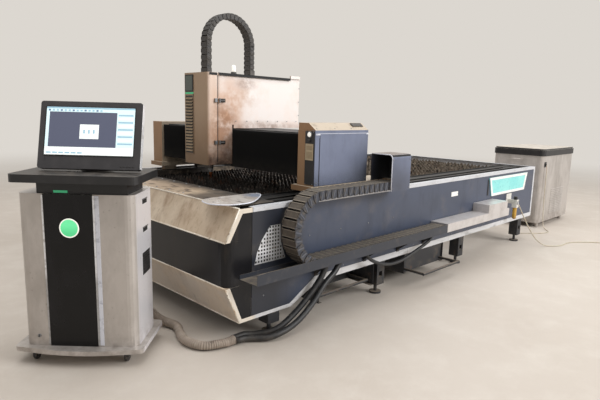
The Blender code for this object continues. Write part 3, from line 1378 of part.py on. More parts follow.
def main():
    for old in list(bpy.data.objects):
        bpy.data.objects.remove(old)
    dark = finish("frame_grey", "2b2d31", 0.6, 0.2)
    panel = finish("side_blue_grey", "3f4556", 0.45, 0.1)
    tan = finish("dirty_white", "cfc2a8", 0.5, 0.1)
    silver = finish("brushed_silver", "b9babb", 0.35, 0.7)
    finishes = {
        "casting": finish("grey_casting", "b8bcc0", 0.5, 0.3),
        "bowl": finish("yellow_bowl", "c9a63a", 0.25, 0.0),
        "knob": finish("knob_black", "1e1f21", 0.5, 0.0),
        "beige": finish("beige_enamel", "b09b7c", 0.5, 0.1),
        "black": finish("black_panel", "17181a", 0.4, 0.0),
        "button": finish("button_white", "f2f4f5", 0.3, 0.0),
        "silver": silver,
        "screen": finish("screen_glass", "2c3640", 0.15, 0.0),
        "steel": finish("castor_steel", "8d8f92", 0.35, 0.9),
        "tyre": finish("tyre_black", "202124", 0.7, 0.0),
    }
    homes["machine"] = (0, 0, 0)
    foot_y = LEG_IN + LEG_SIDE / 2
    machine = station("machine", None, (-FOOT_STATIONS[0], -foot_y, 0), frame=(0, 0, 0))
    bed_frame(dark, machine)
    end_fascia_upper(tan, machine)
    end_fascia_lower(tan, machine)
    end_band(panel, machine)
    side_panels(panel, machine)
    side_vent(finish("vent_bright", "c8c9ca", 0.3, 0.9), machine)
    top_trim(finish("trim_white", "d5d6d6", 0.4, 0.3), machine)
    end_deck(tan, machine)
    bed_rails(finish("rail_dark", "3a3b3d", 0.4, 0.6), machine)
    slat_table(finish("slat_steel", "4a443e", 0.6, 0.6), machine)
    drawers(dark, machine)
    chain_tray(panel, machine)
    side_cover(silver, machine)
    side_plate(finish("plate_cyan", "7fd6d2", 0.3, 0.0), machine)
    regulator(finishes, machine)
    gantry_home = (BEARING_START, RAIL_CENTRE_IN, RAIL_TOP)
    gantry = station("slide_gantry", machine, gantry_home)
    gantry_boxes(finishes, gantry)
    box_cover(panel, gantry)
    control_strip(finishes, gantry)
    beam(dark, gantry)
    bellows(finish("bellows_black", "1b1b1d", 0.7, 0.0), gantry)
    hood(panel, gantry)
    chain = finish("chain_dusty", "4a4038", 0.7, 0.0)
    x_chain(chain, machine, gantry)
    head_home = (BEAM_START, HEAD_Y, CROSS_RAIL_TOP_Z)
    head = station("slide_head", gantry, head_home)
    white = finish("cover_white", "e0d8c8", 0.45, 0.1)
    head_cover(white, head)
    head_door(white, head)
    head_front(finishes, head)
    cover_lamp(finishes["button"], head)
    carriage(dark, head)
    z_chain(chain, head)
    z_home = (TORCH_X, HEAD_Y, NOZZLE_TIP_Z)
    cutting_head(finish("head_metal", "9a9c9f", 0.3, 0.9), station("slide_z", head, z_home), z_home)
    console(finishes, machine)
    cabinet(finishes, machine)
    black_hose = finish("hose_black", "1d1e20", 0.55, 0.0)
    cord("hose_outer", HOSE_A_POINTS, HOSE_R, black_hose, machine)
    cord("hose_inner", HOSE_B_POINTS, HOSE_R, black_hose, machine)
    cord("drain_hose", DRAIN_POINTS, DRAIN_R, black_hose, machine)
    cord("conduit", CONDUIT_POINTS, CONDUIT_R, finish("conduit_beige", "9a8f7e", 0.7, 0.0), machine)
    pale = finish("line_pale", "b9b3a6", 0.5, 0.0)
    cord("air_line", AIR_POINTS, AIR_R, pale, machine)
    cord("cabinet_cable", CABLE_POINTS, CABLE_R, pale, machine)


main()
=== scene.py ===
"""Dressing of the open-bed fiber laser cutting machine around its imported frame.

Lengths are in metres in the bed's frame: X along the bed from the near end, Y across it to the
far side, Z up from the floor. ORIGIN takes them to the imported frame.
"""
import math
import random

import bmesh
import bpy
from mathutils import Matrix, Vector


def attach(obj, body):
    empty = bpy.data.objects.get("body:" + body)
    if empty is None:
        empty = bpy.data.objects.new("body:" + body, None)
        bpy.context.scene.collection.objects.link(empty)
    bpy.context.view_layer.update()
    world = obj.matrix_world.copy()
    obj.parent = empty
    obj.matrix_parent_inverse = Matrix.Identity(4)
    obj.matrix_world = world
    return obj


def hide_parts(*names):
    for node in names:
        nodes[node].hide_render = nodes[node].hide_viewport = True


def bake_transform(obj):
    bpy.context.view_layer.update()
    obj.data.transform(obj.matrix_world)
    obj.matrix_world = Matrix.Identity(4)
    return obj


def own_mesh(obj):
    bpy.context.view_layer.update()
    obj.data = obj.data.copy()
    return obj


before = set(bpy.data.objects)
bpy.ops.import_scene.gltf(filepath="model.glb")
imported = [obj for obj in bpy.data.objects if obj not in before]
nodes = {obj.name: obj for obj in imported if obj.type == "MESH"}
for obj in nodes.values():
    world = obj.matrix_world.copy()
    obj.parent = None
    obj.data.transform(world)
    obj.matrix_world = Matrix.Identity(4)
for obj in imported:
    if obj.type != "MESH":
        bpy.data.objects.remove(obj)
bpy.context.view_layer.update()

ORIGIN = Vector((0.3, 0.0551, 0.0))
BED_WIDTH = 2.3

# The photograph's camera in the bed's frame, for an image of 600 by 400
IMAGE_WIDE = 600
FOCAL_PX = 513.2
SENSOR = 36.0
EYE = Vector((-1.915, -2.439, 1.5))
YAW = math.radians(45.08)
PITCH = math.radians(9.82)
ROLL = math.radians(-1.48)

# The bed and the console, which stands turned to the operator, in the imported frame
BED = Matrix.Translation(-ORIGIN)
CONSOLE_TURN = Matrix.Rotation(-math.pi / 4, 4, "Z")
CONSOLE = BED @ Matrix.Translation((-0.825, 0.465, 0)) @ CONSOLE_TURN


# ---- Materials


def srgb(code):
    """Linear colour of an sRGB hex value."""
    levels = [int(code[k:k + 2], 16) / 255 for k in (0, 2, 4)]
    return (*[v / 12.92 if v <= 0.04045 else ((v + 0.055) / 1.055) ** 2.4 for v in levels], 1.0)


def add(tree, kind, settings=(), links=()):
    """Node with its settings, each a property or a socket's value, and its links."""
    made = tree.nodes.new(kind)
    for key, value in dict(settings).items():
        if isinstance(key, str) and hasattr(made, key):
            setattr(made, key, value)
        else:
            made.inputs[key].default_value = value
    for key, source in dict(links).items():
        tree.links.new(source, made.inputs[key])
    return made


def cloudy(tree, size, low, high, stretch=(1, 1, 1)):
    """Mask of soft patches about one size across, longer along an axis with a stretch above 1."""
    place = add(tree, "ShaderNodeTexCoord").outputs["Object"]
    squeezed = add(tree, "ShaderNodeMapping", {"Scale": tuple(1 / s for s in stretch)}, {"Vector": place})
    noise = add(tree, "ShaderNodeTexNoise", {"Scale": 1 / size, "Detail": 5.0, "Roughness": 0.62},
                {"Vector": squeezed.outputs[0]})
    return add(tree, "ShaderNodeMapRange", {"From Min": low, "From Max": high},
               {"Value": noise.outputs[0]}).outputs[0]


def about(tree, spot, core, reach, squash=(1, 1, 1)):
    """Soft mask round a place in the bed's frame, whole inside the core and gone at the reach."""
    place = add(tree, "ShaderNodeTexCoord").outputs["Object"]
    offset = add(tree, "ShaderNodeVectorMath", {"operation": "SUBTRACT", 1: Vector(spot) - ORIGIN}, {0: place})
    scaled = add(tree, "ShaderNodeVectorMath", {"operation": "MULTIPLY", 1: squash}, {0: offset.outputs[0]})
    away = add(tree, "ShaderNodeVectorMath", {"operation": "LENGTH"}, {0: scaled.outputs[0]})
    return add(tree, "ShaderNodeMapRange", {"From Min": reach, "From Max": core, "interpolation_type": "SMOOTHSTEP"},
               {"Value": away.outputs["Value"]}).outputs[0]


def rising(tree, axis, start, end):
    """Mask that grows from nothing at one place along an axis of the bed to whole at another."""
    place = add(tree, "ShaderNodeTexCoord").outputs["Object"]
    parts = add(tree, "ShaderNodeSeparateXYZ", {}, {0: place})
    shift = ORIGIN[axis]
    return add(tree, "ShaderNodeMapRange", {"From Min": start - shift, "From Max": end - shift},
               {"Value": parts.outputs[axis]}).outputs[0]


def facing(tree, axis, low, high):
    """Mask of the faces that look along an axis, such as the tops where dust lies."""
    normal = add(tree, "ShaderNodeNewGeometry").outputs["Normal"]
    parts = add(tree, "ShaderNodeSeparateXYZ", {}, {0: normal})
    return add(tree, "ShaderNodeMapRange", {"From Min": low, "From Max": high},
               {"Value": parts.outputs[axis]}).outputs[0]


def hollow_shade_and_dirt(tree, reach, open_share, closed_share):
    """Mask of the corners and hollows where shade and dirt are painted, from how much is within reach round a place."""
    found = add(tree, "ShaderNodeAmbientOcclusion", {"Distance": reach, "samples": 8})
    return add(tree, "ShaderNodeMapRange", {"From Min": open_share, "From Max": closed_share},
               {"Value": found.outputs["AO"]}).outputs[0]


def finish(name, colour, roughness, metallic=0.0, layers=(), grain=None, sockets=()):
    """Surface of one colour with layers of dirt, wear, painted light and painted shade over it, each (colour, share,
    roughness, masks).

    The grain is the size and depth of its fine relief, with a stretch where it runs along an axis.
    """
    made = bpy.data.materials.new(name)
    made.use_nodes = True
    tree = made.node_tree
    shader = tree.nodes["Principled BSDF"]
    shader.inputs["Base Color"].default_value = srgb(colour)
    shader.inputs["Roughness"].default_value = roughness
    shader.inputs["Metallic"].default_value = metallic
    for key, value in dict(sockets).items():
        shader.inputs[key].default_value = value
    tint, gloss = None, None
    for over, share, rough, *masks in layers:
        mask = None
        for maker, *values in masks:
            found = maker(tree, *values)
            if mask is not None:
                found = add(tree, "ShaderNodeMath", {"operation": "MULTIPLY"}, {0: mask, 1: found}).outputs[0]
            mask = found
        mask = add(tree, "ShaderNodeMath", {"operation": "MULTIPLY", 1: share}, {0: mask}).outputs[0]
        mix = add(tree, "ShaderNodeMix", {"data_type": "RGBA", 6: srgb(colour), 7: srgb(over)}, {0: mask})
        if tint:
            tree.links.new(tint, mix.inputs[6])
        tint = mix.outputs[2]
        blend = add(tree, "ShaderNodeMix", {"data_type": "FLOAT", 2: roughness, 3: rough}, {0: mask})
        if gloss:
            tree.links.new(gloss, blend.inputs[2])
        gloss = blend.outputs[0]
    if tint:
        tree.links.new(tint, shader.inputs["Base Color"])
        tree.links.new(gloss, shader.inputs["Roughness"])
    if grain:
        size, deep, stretch = (*grain, (1, 1, 1))[:3]
        place = add(tree, "ShaderNodeTexCoord").outputs["Object"]
        squeezed = add(tree, "ShaderNodeMapping", {"Scale": tuple(1 / s for s in stretch)}, {"Vector": place})
        noise = add(tree, "ShaderNodeTexNoise", {"Scale": 1 / size, "Detail": 3.0}, {"Vector": squeezed.outputs[0]})
        bump = add(tree, "ShaderNodeBump", {"Strength": 1.0, "Distance": deep}, {"Height": noise.outputs[0]})
        tree.links.new(bump.outputs[0], shader.inputs["Normal"])
    return made


# The soot colour also serves as painted shade on undersides and inner faces, and as a painted shadow beside the hood
DUST, SOOT_AND_SHADE, RUST = "8d8071", "241d19", "7a4a2c"
# Tops where dust settles, faces towards the near end, and the uneven dust on the tops
TOPS = (facing, 2, 0.5, 0.95)
NEAR_FACES = (facing, 0, -0.5, -0.95)
UNEVEN = (cloudy, 0.05, 0.3, 0.6)
# Relief in metres, size then depth: sprayed powder and enamel as orange peel 1 to 3 mm across, moulded and primed
# skins 2 mm across, cast and ground metal 1 mm. Depths are some ten times the real ones, which wouldn't show here
POWDER = (0.0012, 0.00003)
THICK_POWDER = (0.0012, 0.00004)
ENAMEL = (0.003, 0.00004)
MOULDED = (0.002, 0.0001)
GROUND = (0.001, 0.00003)

# Powder-coated sheet steel, sprayed and baked: satin blue-grey with dust lying on it and hand marks
side_paint = finish("powder_coat_blue_grey", "3f4656", 0.4, layers=[
    ("4c556a", 0.8, 0.36, (cloudy, 0.9, 0.35, 0.7, (2, 1, 1))),
    ("30343f", 0.5, 0.5, (cloudy, 0.12, 0.52, 0.75, (1, 1, 3))),
    # Painted shadow: the side darker towards the near end, where the chain's shadow falls
    ("1a1c23", 0.85, 0.34, (rising, 0, 0.62, 0.3)),
    (DUST, 0.3, 0.75, (cloudy, 0.3, 0.55, 0.8)),
    (DUST, 0.5, 0.85, TOPS, UNEVEN),
    # Painted shade and dirt in the corners
    ("1c1d21", 0.6, 0.7, (hollow_shade_and_dirt, 0.05, 0.65, 0.35)),
], grain=POWDER)
# The band round the near end in the same coat, painted almost black as the shade on the near end, and glossier
band_paint_shaded = finish("powder_coat_black_blue_shaded", "0d0e12", 0.3, layers=[
    ("201f22", 0.7, 0.3, (cloudy, 0.35, 0.4, 0.7)),
    ("3b332c", 0.5, 0.6, (cloudy, 0.1, 0.58, 0.75, (1, 1.5, 3))),
    (DUST, 0.6, 0.85, TOPS, UNEVEN),
], grain=POWDER, sockets={"Specular IOR Level": 0.3})
# The chain's shelf in the dark coat, its floor grey with dust and slag
shelf_paint = finish("powder_coat_shelf", "2b2f38", 0.42, layers=[
    ("3a3f4b", 0.6, 0.4, (cloudy, 0.4, 0.4, 0.7, (3, 1, 1))),
    ("857a6b", 0.75, 0.85, TOPS, (cloudy, 0.06, 0.3, 0.55)),
    (DUST, 0.15, 0.8, (cloudy, 0.08, 0.55, 0.75)),
], grain=POWDER)
# The same coat on the gantry, painted lighter as the light falling on its side
gantry_paint_lit = finish("powder_coat_gantry_lit", "6b738a", 0.38, layers=[
    ("7a839b", 0.7, 0.34, (cloudy, 0.35, 0.35, 0.7)),
    ("565d70", 0.5, 0.45, (cloudy, 0.1, 0.5, 0.8, (1, 1, 2.5))),
    ("4c515f", 0.8, 0.5, (rising, 2, 1.1, 0.95), (cloudy, 0.3, 0.2, 0.7)),
    # Painted shadow of the hood on the box's side
    ("2f3139", 0.85, 0.55, (about, (1.36, 0.03, 0.98), 0.05, 0.4, (0.8, 1, 1))),
    (DUST, 0.7, 0.85, TOPS),
    # Painted shade: the inside of the hood and the hollows near black
    ("0f1013", 0.97, 0.8, (hollow_shade_and_dirt, 0.22, 0.62, 0.42)),
], grain=POWDER)
# White enamel on folded sheet, yellowed and run with rusty water where the operator leans
stained_enamel = finish("stained_enamel_white", "c4b199", 0.36, layers=[
    ("dccdb8", 0.85, 0.34, (cloudy, 0.3, 0.45, 0.66, (1, 1.2, 1))),
    ("967b62", 0.75, 0.45, (cloudy, 0.18, 0.52, 0.7, (1, 1, 2))),
    ("8a7054", 0.45, 0.5, (cloudy, 0.025, 0.52, 0.72, (1, 1, 9))),
    ("a08c76", 0.6, 0.45, (rising, 1, 1.0, 2.1)),
    ("b9b1a8", 0.8, 0.42, (rising, 2, 0.42, 0.36), (cloudy, 0.3, 0.2, 0.55)),
    ("cfd0d3", 0.95, 0.36, (rising, 0, 0.1, 0.14)),
    ("4f463f", 0.5, 0.6, (rising, 0, 0.1, 0.14), (cloudy, 0.05, 0.52, 0.72, (4, 1, 1))),
    # Painted light: the near end's faces towards the right side lighter, as lit
    ("e4dccf", 0.8, 0.3, (facing, 1, -0.3, -0.8), (rising, 0, 0.14, 0.1)),
    ("7b6650", 0.7, 0.7, (facing, 2, 0.8, 0.98), (cloudy, 0.1, 0.42, 0.62)),
    (SOOT_AND_SHADE, 0.35, 0.7, (cloudy, 0.035, 0.64, 0.74, (1, 1, 4))),
], grain=(0.004, 0.00006))
# Silver-white enamel of the folded trims, bright on its edges
trim_enamel = finish("trim_enamel_silver_white", "cfd1d6", 0.32, 0.15, layers=[
    ("8a8378", 0.55, 0.6, (cloudy, 0.08, 0.52, 0.75, (3, 1, 1))),
    (SOOT_AND_SHADE, 0.35, 0.8, (cloudy, 0.018, 0.6, 0.75, (2, 1, 1))),
], grain=ENAMEL)
# White enamel of the head cover, scorched brown by the cutting fumes low on its near side, with painted shade: tan on
# the faces towards the near end and darker low on them, near black on the undersides and on the inner faces
cover_enamel = finish("scorched_and_shaded_enamel_white", "fbf3ef", 0.4, layers=[
    ("f7e2d6", 0.6, 0.42, (cloudy, 0.25, 0.48, 0.7)),
    ("dfc5b2", 0.85, 0.42, (rising, 0, 0.6, 0.52)),
    ("cc9a74", 0.85, 0.5, (about, (0.66, 0.99, 1.5), 0.03, 0.3, (1.2, 1, 0.75)), (cloudy, 0.2, 0.22, 0.55)),
    ("c79d7c", 0.6, 0.5, (about, (0.78, 0.99, 1.6), 0.02, 0.24, (0.9, 1, 1.2)), (cloudy, 0.1, 0.42, 0.62)),
    ("a68a7c", 0.75, 0.55, (about, (0.83, 0.99, 1.71), 0.02, 0.13, (0.8, 1, 1.9)), (cloudy, 0.06, 0.28, 0.55)),
    ("9a6c4c", 0.8, 0.6, (about, (0.6, 0.99, 1.36), 0.05, 0.2, (1, 1, 0.8)), (cloudy, 0.06, 0.3, 0.55)),
    ("a87c5c", 0.8, 0.6, (rising, 2, 1.42, 1.24), (cloudy, 0.16, 0.2, 0.55)),
    ("4a3123", 0.85, 0.75, (rising, 2, 1.3, 1.1), (cloudy, 0.09, 0.28, 0.6)),
    ("20150f", 0.85, 0.85, (rising, 2, 1.16, 1.05), (cloudy, 0.06, 0.25, 0.6)),
    ("8a6a56", 0.7, 0.7, (about, (1.0, 0.98, 1.36), 0.0, 0.12, (0.2, 1, 1.8)), (cloudy, 0.07, 0.35, 0.6)),
    # Painted shade: the faces towards the near end tan, and darker low on them
    ("9e8468", 0.85, 0.5, (facing, 0, -0.6, -0.95)),
    ("6a5440", 0.55, 0.6, (facing, 0, -0.6, -0.95), (rising, 2, 1.5, 1.1)),
    # Painted shade: the inner faces and the undersides near black
    (SOOT_AND_SHADE, 0.95, 0.8, (facing, 1, -0.5, -0.95), (rising, 1, 1.1, 1.15)),
    (SOOT_AND_SHADE, 0.9, 0.8, (facing, 2, -0.5, -0.95)),
], grain=ENAMEL)
# Mill-finish steel plate of the near deck, rubbed bright and burnt, with near-white glossy patches painted on as
# highlights
deck_steel = finish("burnt_steel_plate_highlighted", "d6d1cb", 0.28, 0.35, layers=[
    ("9a9088", 0.7, 0.4, (cloudy, 0.16, 0.48, 0.6, (1, 2, 1))),
    ("4b423b", 0.8, 0.5, (cloudy, 0.09, 0.6, 0.68, (1, 3, 1))),
    # Painted highlights: near-white glossy patches
    ("fbf8f4", 0.9, 0.2, (cloudy, 0.12, 0.55, 0.63)),
    ("7f92b0", 0.7, 0.25, (about, (0.33, 0.24, 0.92), 0.03, 0.12)),
], grain=(0.03, 0.0002))
# Enamel of the near deck, brown with dust and cutting slag
deck_enamel = finish("slagged_enamel_deck", "a08c76", 0.5, layers=[
    ("c9b79f", 0.7, 0.4, (cloudy, 0.2, 0.46, 0.64, (1, 2, 1))),
    ("4a3d33", 0.9, 0.75, (cloudy, 0.1, 0.5, 0.62, (1, 2, 1))),
    ("211c19", 0.95, 0.8, (rising, 0, 0.16, 0.3), (cloudy, 0.12, 0.2, 0.5)),
    # Painted shadow of the nose plate on the deck round its right end
    ("1c1815", 0.8, 0.8, (about, (0.2, 0.3, 0.9), 0.25, 0.42, (0.8, 1, 1))),
], grain=(0.004, 0.0002))
# Hot-rolled slats and table frame under slag and oxide
slag_steel = finish("slagged_steel", "46413e", 0.5, 0.6, layers=[
    ("1b1817", 0.9, 0.8, (cloudy, 0.09, 0.38, 0.58)),
    ("a59b8f", 0.55, 0.45, (rising, 2, 0.872, 0.886), (cloudy, 0.3, 0.45, 0.62)),
    ("7f7367", 0.7, 0.45, (cloudy, 0.03, 0.58, 0.7)),
    ("6b4630", 0.5, 0.8, (cloudy, 0.2, 0.55, 0.7)),
    ("a89b8b", 0.7, 0.55, (rising, 0, 1.7, 2.6), (cloudy, 0.06, 0.36, 0.62)),
], grain=(0.004, 0.0004))
# Black primer on the welded frame, grey with floor dust
frame_primer = finish("black_primer_dusty", "26272b", 0.55, 0.0, layers=[
    ("5c554c", 0.7, 0.85, (cloudy, 0.1, 0.5, 0.72)),
    (DUST, 0.7, 0.9, TOPS),
    (RUST, 0.35, 0.8, (cloudy, 0.05, 0.6, 0.75)),
], grain=MOULDED)
# Black sheet that guards the rails, matt with soot and oil
guard_black = finish("black_guard_sheet", "131314", 0.5, layers=[
    ("2c2824", 0.6, 0.7, (cloudy, 0.12, 0.48, 0.7, (2, 1, 1))),
    ("8d867c", 0.4, 0.4, (rising, 2, 0.902, 0.9035), (cloudy, 0.08, 0.4, 0.6, (3, 1, 1))),
], grain=(0.003, 0.0001))
# The same primer on the beam and carriage, black with soot and grease
beam_primer = finish("black_primer_sooted", "17171a", 0.5, layers=[
    ("2a2623", 0.6, 0.7, (cloudy, 0.1, 0.45, 0.7)),
], grain=MOULDED)
# Ground guide rails and racks in old oil
rail_steel = finish("oiled_ground_steel", "2c2c2f", 0.34, 0.7, layers=[
    ("1a1917", 0.85, 0.55, (cloudy, 0.06, 0.42, 0.65, (3, 1, 1))),
], grain=(0.0006, 0.00002, (30, 1, 1)))
# Punched zinc-plated sheet
vent_zinc = finish("zinc_plated_sheet", "eceef2", 0.3, 0.35, layers=[
    ("8a8278", 0.6, 0.5, (cloudy, 0.04, 0.5, 0.7)),
    ("6d6761", 0.6, 0.6, (rising, 2, 0.56, 0.5)),
], grain=(0.002, 0.00003))
# Brushed stainless sheet of the console, with the grain running up and finger marks
brushed_stainless = finish("brushed_stainless", "c0bab5", 0.34, 0.4, layers=[
    ("918a84", 0.6, 0.42, (cloudy, 0.3, 0.42, 0.66, (1, 1, 2))),
    ("d2cdc9", 0.6, 0.3, (cloudy, 0.14, 0.52, 0.72, (1, 1, 3))),
    # Painted light: the faces looking along +X, the console's right side, near-white as lit
    ("f4f3f8", 0.9, 0.28, (facing, 0, 0.35, 0.66)),
    ("75695f", 0.4, 0.6, (rising, 2, 0.22, 0.1), (cloudy, 0.05, 0.4, 0.65)),
    ("6b5f55", 0.5, 0.6, (cloudy, 0.018, 0.64, 0.74)),
], grain=(0.0014, 0.00002, (1, 1, 40)))
# Bent stainless of the low covers, bright and clean
cover_stainless = finish("stainless_cover", "d3cfce", 0.34, 0.45, layers=[
    ("a59f99", 0.5, 0.5, (cloudy, 0.12, 0.45, 0.7)),
], grain=(0.0012, 0.00002, (30, 1, 1)))
# Dusty black sheet and moulded covers
black_powder = finish("black_powder_coat", "19191b", 0.45, layers=[
    ("2c2b2c", 0.7, 0.5, (cloudy, 0.15, 0.45, 0.7)),
    ("6f665c", 0.5, 0.8, TOPS, (cloudy, 0.05, 0.35, 0.65)),
], grain=THICK_POWDER)
# Cabinet lid: black band and a pale top, darker in patches
lid_enamel = finish("lid_enamel", "1b1a1c", 0.4, layers=[
    ("2e2c2d", 0.7, 0.5, (cloudy, 0.15, 0.45, 0.7)),
    ("cfc8be", 0.95, 0.6, (facing, 2, 0.85, 0.98)),
    ("a2978a", 0.6, 0.7, (facing, 2, 0.85, 0.98), (cloudy, 0.12, 0.4, 0.65)),
], grain=THICK_POWDER)
# Cast acrylic sheet over the console's front: deep black and glossy, dulled by hands
gloss_panel = finish("black_acrylic_panel", "0b0b0d", 0.25, layers=[
    ("1d1c20", 0.6, 0.4, (cloudy, 0.2, 0.5, 0.75, (1, 1, 2))),
], grain=(0.05, 0.00002), sockets={"Specular IOR Level": 0.3})
# Moulded ABS of the monitor housing with its fine texture
screen_abs = finish("moulded_abs_black", "38373a", 0.46, layers=[
    ("4a484a", 0.6, 0.55, (cloudy, 0.1, 0.45, 0.7)),
], grain=(0.0009, 0.00004))
# Ochre enamel of the gantry's end boxes with smoke streaks; the faces towards the near end painted brown as shade,
# lighter higher up and darker low, and the ledge beside the hood painted near black as its shadow
box_enamel = finish("smoked_and_shaded_enamel_beige", "b3a592", 0.42, layers=[
    # Painted shade: the faces towards the near end brown, lighter higher up and darker low
    ("7f6247", 0.9, 0.45, NEAR_FACES),
    ("98765a", 0.6, 0.45, NEAR_FACES, (rising, 2, 1.1, 1.36)),
    ("4c4132", 0.7, 0.6, NEAR_FACES, (rising, 2, 1.06, 0.94)),
    ("5f4a38", 0.6, 0.6, (cloudy, 0.07, 0.52, 0.72, (1, 1, 3))),
    ("bcae9e", 0.5, 0.6, TOPS, (cloudy, 0.12, 0.4, 0.7)),
    # The faces towards the near end warmed to tan, part of their painted shade
    ("a17a54", 0.55, 0.45, (facing, 0, -0.6, -0.95)),
    # Painted shadow: the ledge beside the hood near black
    (SOOT_AND_SHADE, 0.9, 0.8, (rising, 0, 0.965, 0.985), (rising, 2, 0.97, 0.95)),
], grain=(0.002, 0.00005))
# Glass-filled nylon of the cable carrier under a coat of brown dust
carrier_nylon = finish("cable_carrier_nylon", "31353f", 0.5, layers=[
    ("565048", 0.85, 0.8, (facing, 2, 0.3, 0.85)),
    ("544b41", 0.85, 0.75, (facing, 0, -0.35, -0.85)),
    ("756a5b", 0.55, 0.9, (cloudy, 0.03, 0.48, 0.68)),
    # Painted shade and dirt in the hollows between the links
    ("15161a", 0.85, 0.7, (hollow_shade_and_dirt, 0.03, 0.55, 0.25)),
], grain=MOULDED)
# The same links where they rub, worn pale
carrier_worn = finish("cable_carrier_nylon_worn", "545863", 0.5, layers=[
    ("8c8170", 0.8, 0.8, (facing, 2, 0.3, 0.85)),
    ("84796a", 0.8, 0.75, (facing, 0, -0.35, -0.85)),
    ("3c4049", 0.7, 0.7, (cloudy, 0.03, 0.5, 0.7)),
], grain=MOULDED)
# Moulded nylon of the head's cable carrier: black, a little browned by smoke
head_nylon = finish("cable_carrier_nylon_black", "2e2c2c", 0.5, layers=[
    ("4a443c", 0.7, 0.8, (cloudy, 0.05, 0.45, 0.7)),
], grain=MOULDED)
# The same links on their ribs, rubbed greyer
head_nylon_worn = finish("cable_carrier_black_worn", "47433f", 0.5, layers=[
    ("2c2a29", 0.7, 0.7, (cloudy, 0.04, 0.45, 0.7)),
], grain=MOULDED)
# Coated polyester pleats of the bellows
bellows_cloth = finish("coated_polyester_black", "151516", 0.6, layers=[
    ("3c3833", 0.7, 0.85, (rising, 2, 1.14, 1.03), UNEVEN),
], grain=(0.0016, 0.00008))
# Machined aluminium of the cutting head, brown with smoke
head_aluminium = finish("machined_aluminium", "8e8c8b", 0.34, 0.85, layers=[
    ("4c3c31", 0.85, 0.6, (cloudy, 0.06, 0.42, 0.62)),
    ("2a211b", 0.9, 0.75, (rising, 2, 1.1, 0.95)),
], grain=GROUND)
# Turned copper of the nozzle: warm metal under brown smoke
copper = finish("turned_copper", "a8643f", 0.35, 0.9, layers=[("3a261b", 0.6, 0.6, (cloudy, 0.01, 0.5, 0.65))])
# Nitrile hose, scuffed grey along the floor
hose_rubber = finish("nitrile_hose", "202124", 0.46, layers=[
    ("4a4844", 0.7, 0.75, (cloudy, 0.03, 0.52, 0.72)),
    ("5d564e", 0.5, 0.85, (rising, 2, 0.08, 0.01), UNEVEN),
], grain=MOULDED)
# Corrugated nylon conduit under cement dust, its grooves painted dark as shade
conduit_nylon = finish("corrugated_conduit", "a3968a", 0.7, layers=[
    ("cabeb0", 0.7, 0.8, (cloudy, 0.03, 0.5, 0.7)),
    ("5b5045", 0.7, 0.8, (cloudy, 0.06, 0.52, 0.7)),
    ("2d2824", 0.9, 0.9, (hollow_shade_and_dirt, 0.012, 0.75, 0.45)),
], grain=(0.002, 0.0002))
# Extruded polyurethane tube: milky and a little see-through, with floor dirt on it
air_line_pu = finish("polyurethane_tube", "c2b9a6", 0.4, layers=[
    ("8f826c", 0.7, 0.7, (cloudy, 0.05, 0.5, 0.7)),
], sockets={"Subsurface Weight": 0.05})
# Moulded rubber tread of the castors: matt, grey with floor dust
tyre_rubber = finish("castor_rubber", "2a2a2c", 0.65, layers=[
    ("7d7166", 0.6, 0.9, (cloudy, 0.015, 0.45, 0.7)),
], grain=MOULDED)
# Pressed zinc-plated steel of the castor forks: dull bright metal with grime
castor_zinc = finish("zinc_plated_steel", "7c7a78", 0.42, 0.85, layers=[
    ("3f3a35", 0.7, 0.7, (cloudy, 0.02, 0.5, 0.7)),
], grain=GROUND)
# Die-cast zinc of the regulator under white enamel: smooth, with grey handling marks
regulator_white = finish("die_cast_enamel_white", "dcdad4", 0.4, layers=[
    ("8e8678", 0.5, 0.7, (cloudy, 0.03, 0.5, 0.7)),
], grain=GROUND)
# Moulded polycarbonate bowl: amber and glossy, darker at its foot where oil gathers
bowl_resin = finish("polycarbonate_bowl_amber", "c79a34", 0.2, layers=[
    ("6f4d16", 0.7, 0.4, (rising, 2, 0.4, 0.35)),
], sockets={"Coat Weight": 0.5, "IOR": 1.58})
# Cut acrylic plate lit from behind: even cyan, left without any words
plate_acrylic = finish("backlit_acrylic_cyan", "7fd0cf", 0.3, layers=[
    ("a9e6df", 0.6, 0.3, (cloudy, 0.25, 0.4, 0.7)),
    ("5d8f93", 0.5, 0.5, (cloudy, 0.03, 0.55, 0.7)),
], sockets={"Emission Strength": 0.12, "Emission Color": srgb("7fe0de")})
# Turned and cold-headed steel of bolts and fittings: bright with oily spots
bolt_steel = finish("bolt_steel", "8b8d90", 0.35, 0.9, layers=[("3d3833", 0.6, 0.6, (cloudy, 0.008, 0.5, 0.65))])
# Unlit inside of a slot in black sheet
dark_slot = finish("dark_inside", "0c0c0d", 0.8, layers=[("1a1918", 0.5, 0.9, (cloudy, 0.05, 0.45, 0.7))])
# Matt, almost black sheet standing for the shade in seams and inside the hood
seam_shade = finish("seam_shadow", "17181b", 0.7, layers=[("2e2c2a", 0.5, 0.9, (cloudy, 0.02, 0.45, 0.7))])


def glowing(name, colour, strength, layers=()):
    """Lit plastic that keeps its colour."""
    made = finish(name, colour, 0.35, layers=layers)
    shader = made.node_tree.nodes["Principled BSDF"]
    shader.inputs["Emission Color"].default_value = srgb(colour)
    shader.inputs["Emission Strength"].default_value = strength
    return made


# Bright strip painted along folded edges and rims as their highlight
edge_highlight = finish("painted_edge_highlight", "d9dce6", 0.3, 0.1, layers=[("8d93a3", 0.7, 0.4, (cloudy, 0.04, 0.54, 0.7))])
# Enamel of the fascia's rolled edges, painted bright as their highlight, chipped with rust spots
rolled_edge_highlight = finish("rolled_enamel_edge_highlight", "eae3d6", 0.3, 0.1, layers=[
    ("b79b78", 0.7, 0.4, (cloudy, 0.1, 0.48, 0.66, (1, 3, 1))),
    ("6b4a33", 0.8, 0.7, (cloudy, 0.015, 0.58, 0.68, (1, 3, 1))),
])
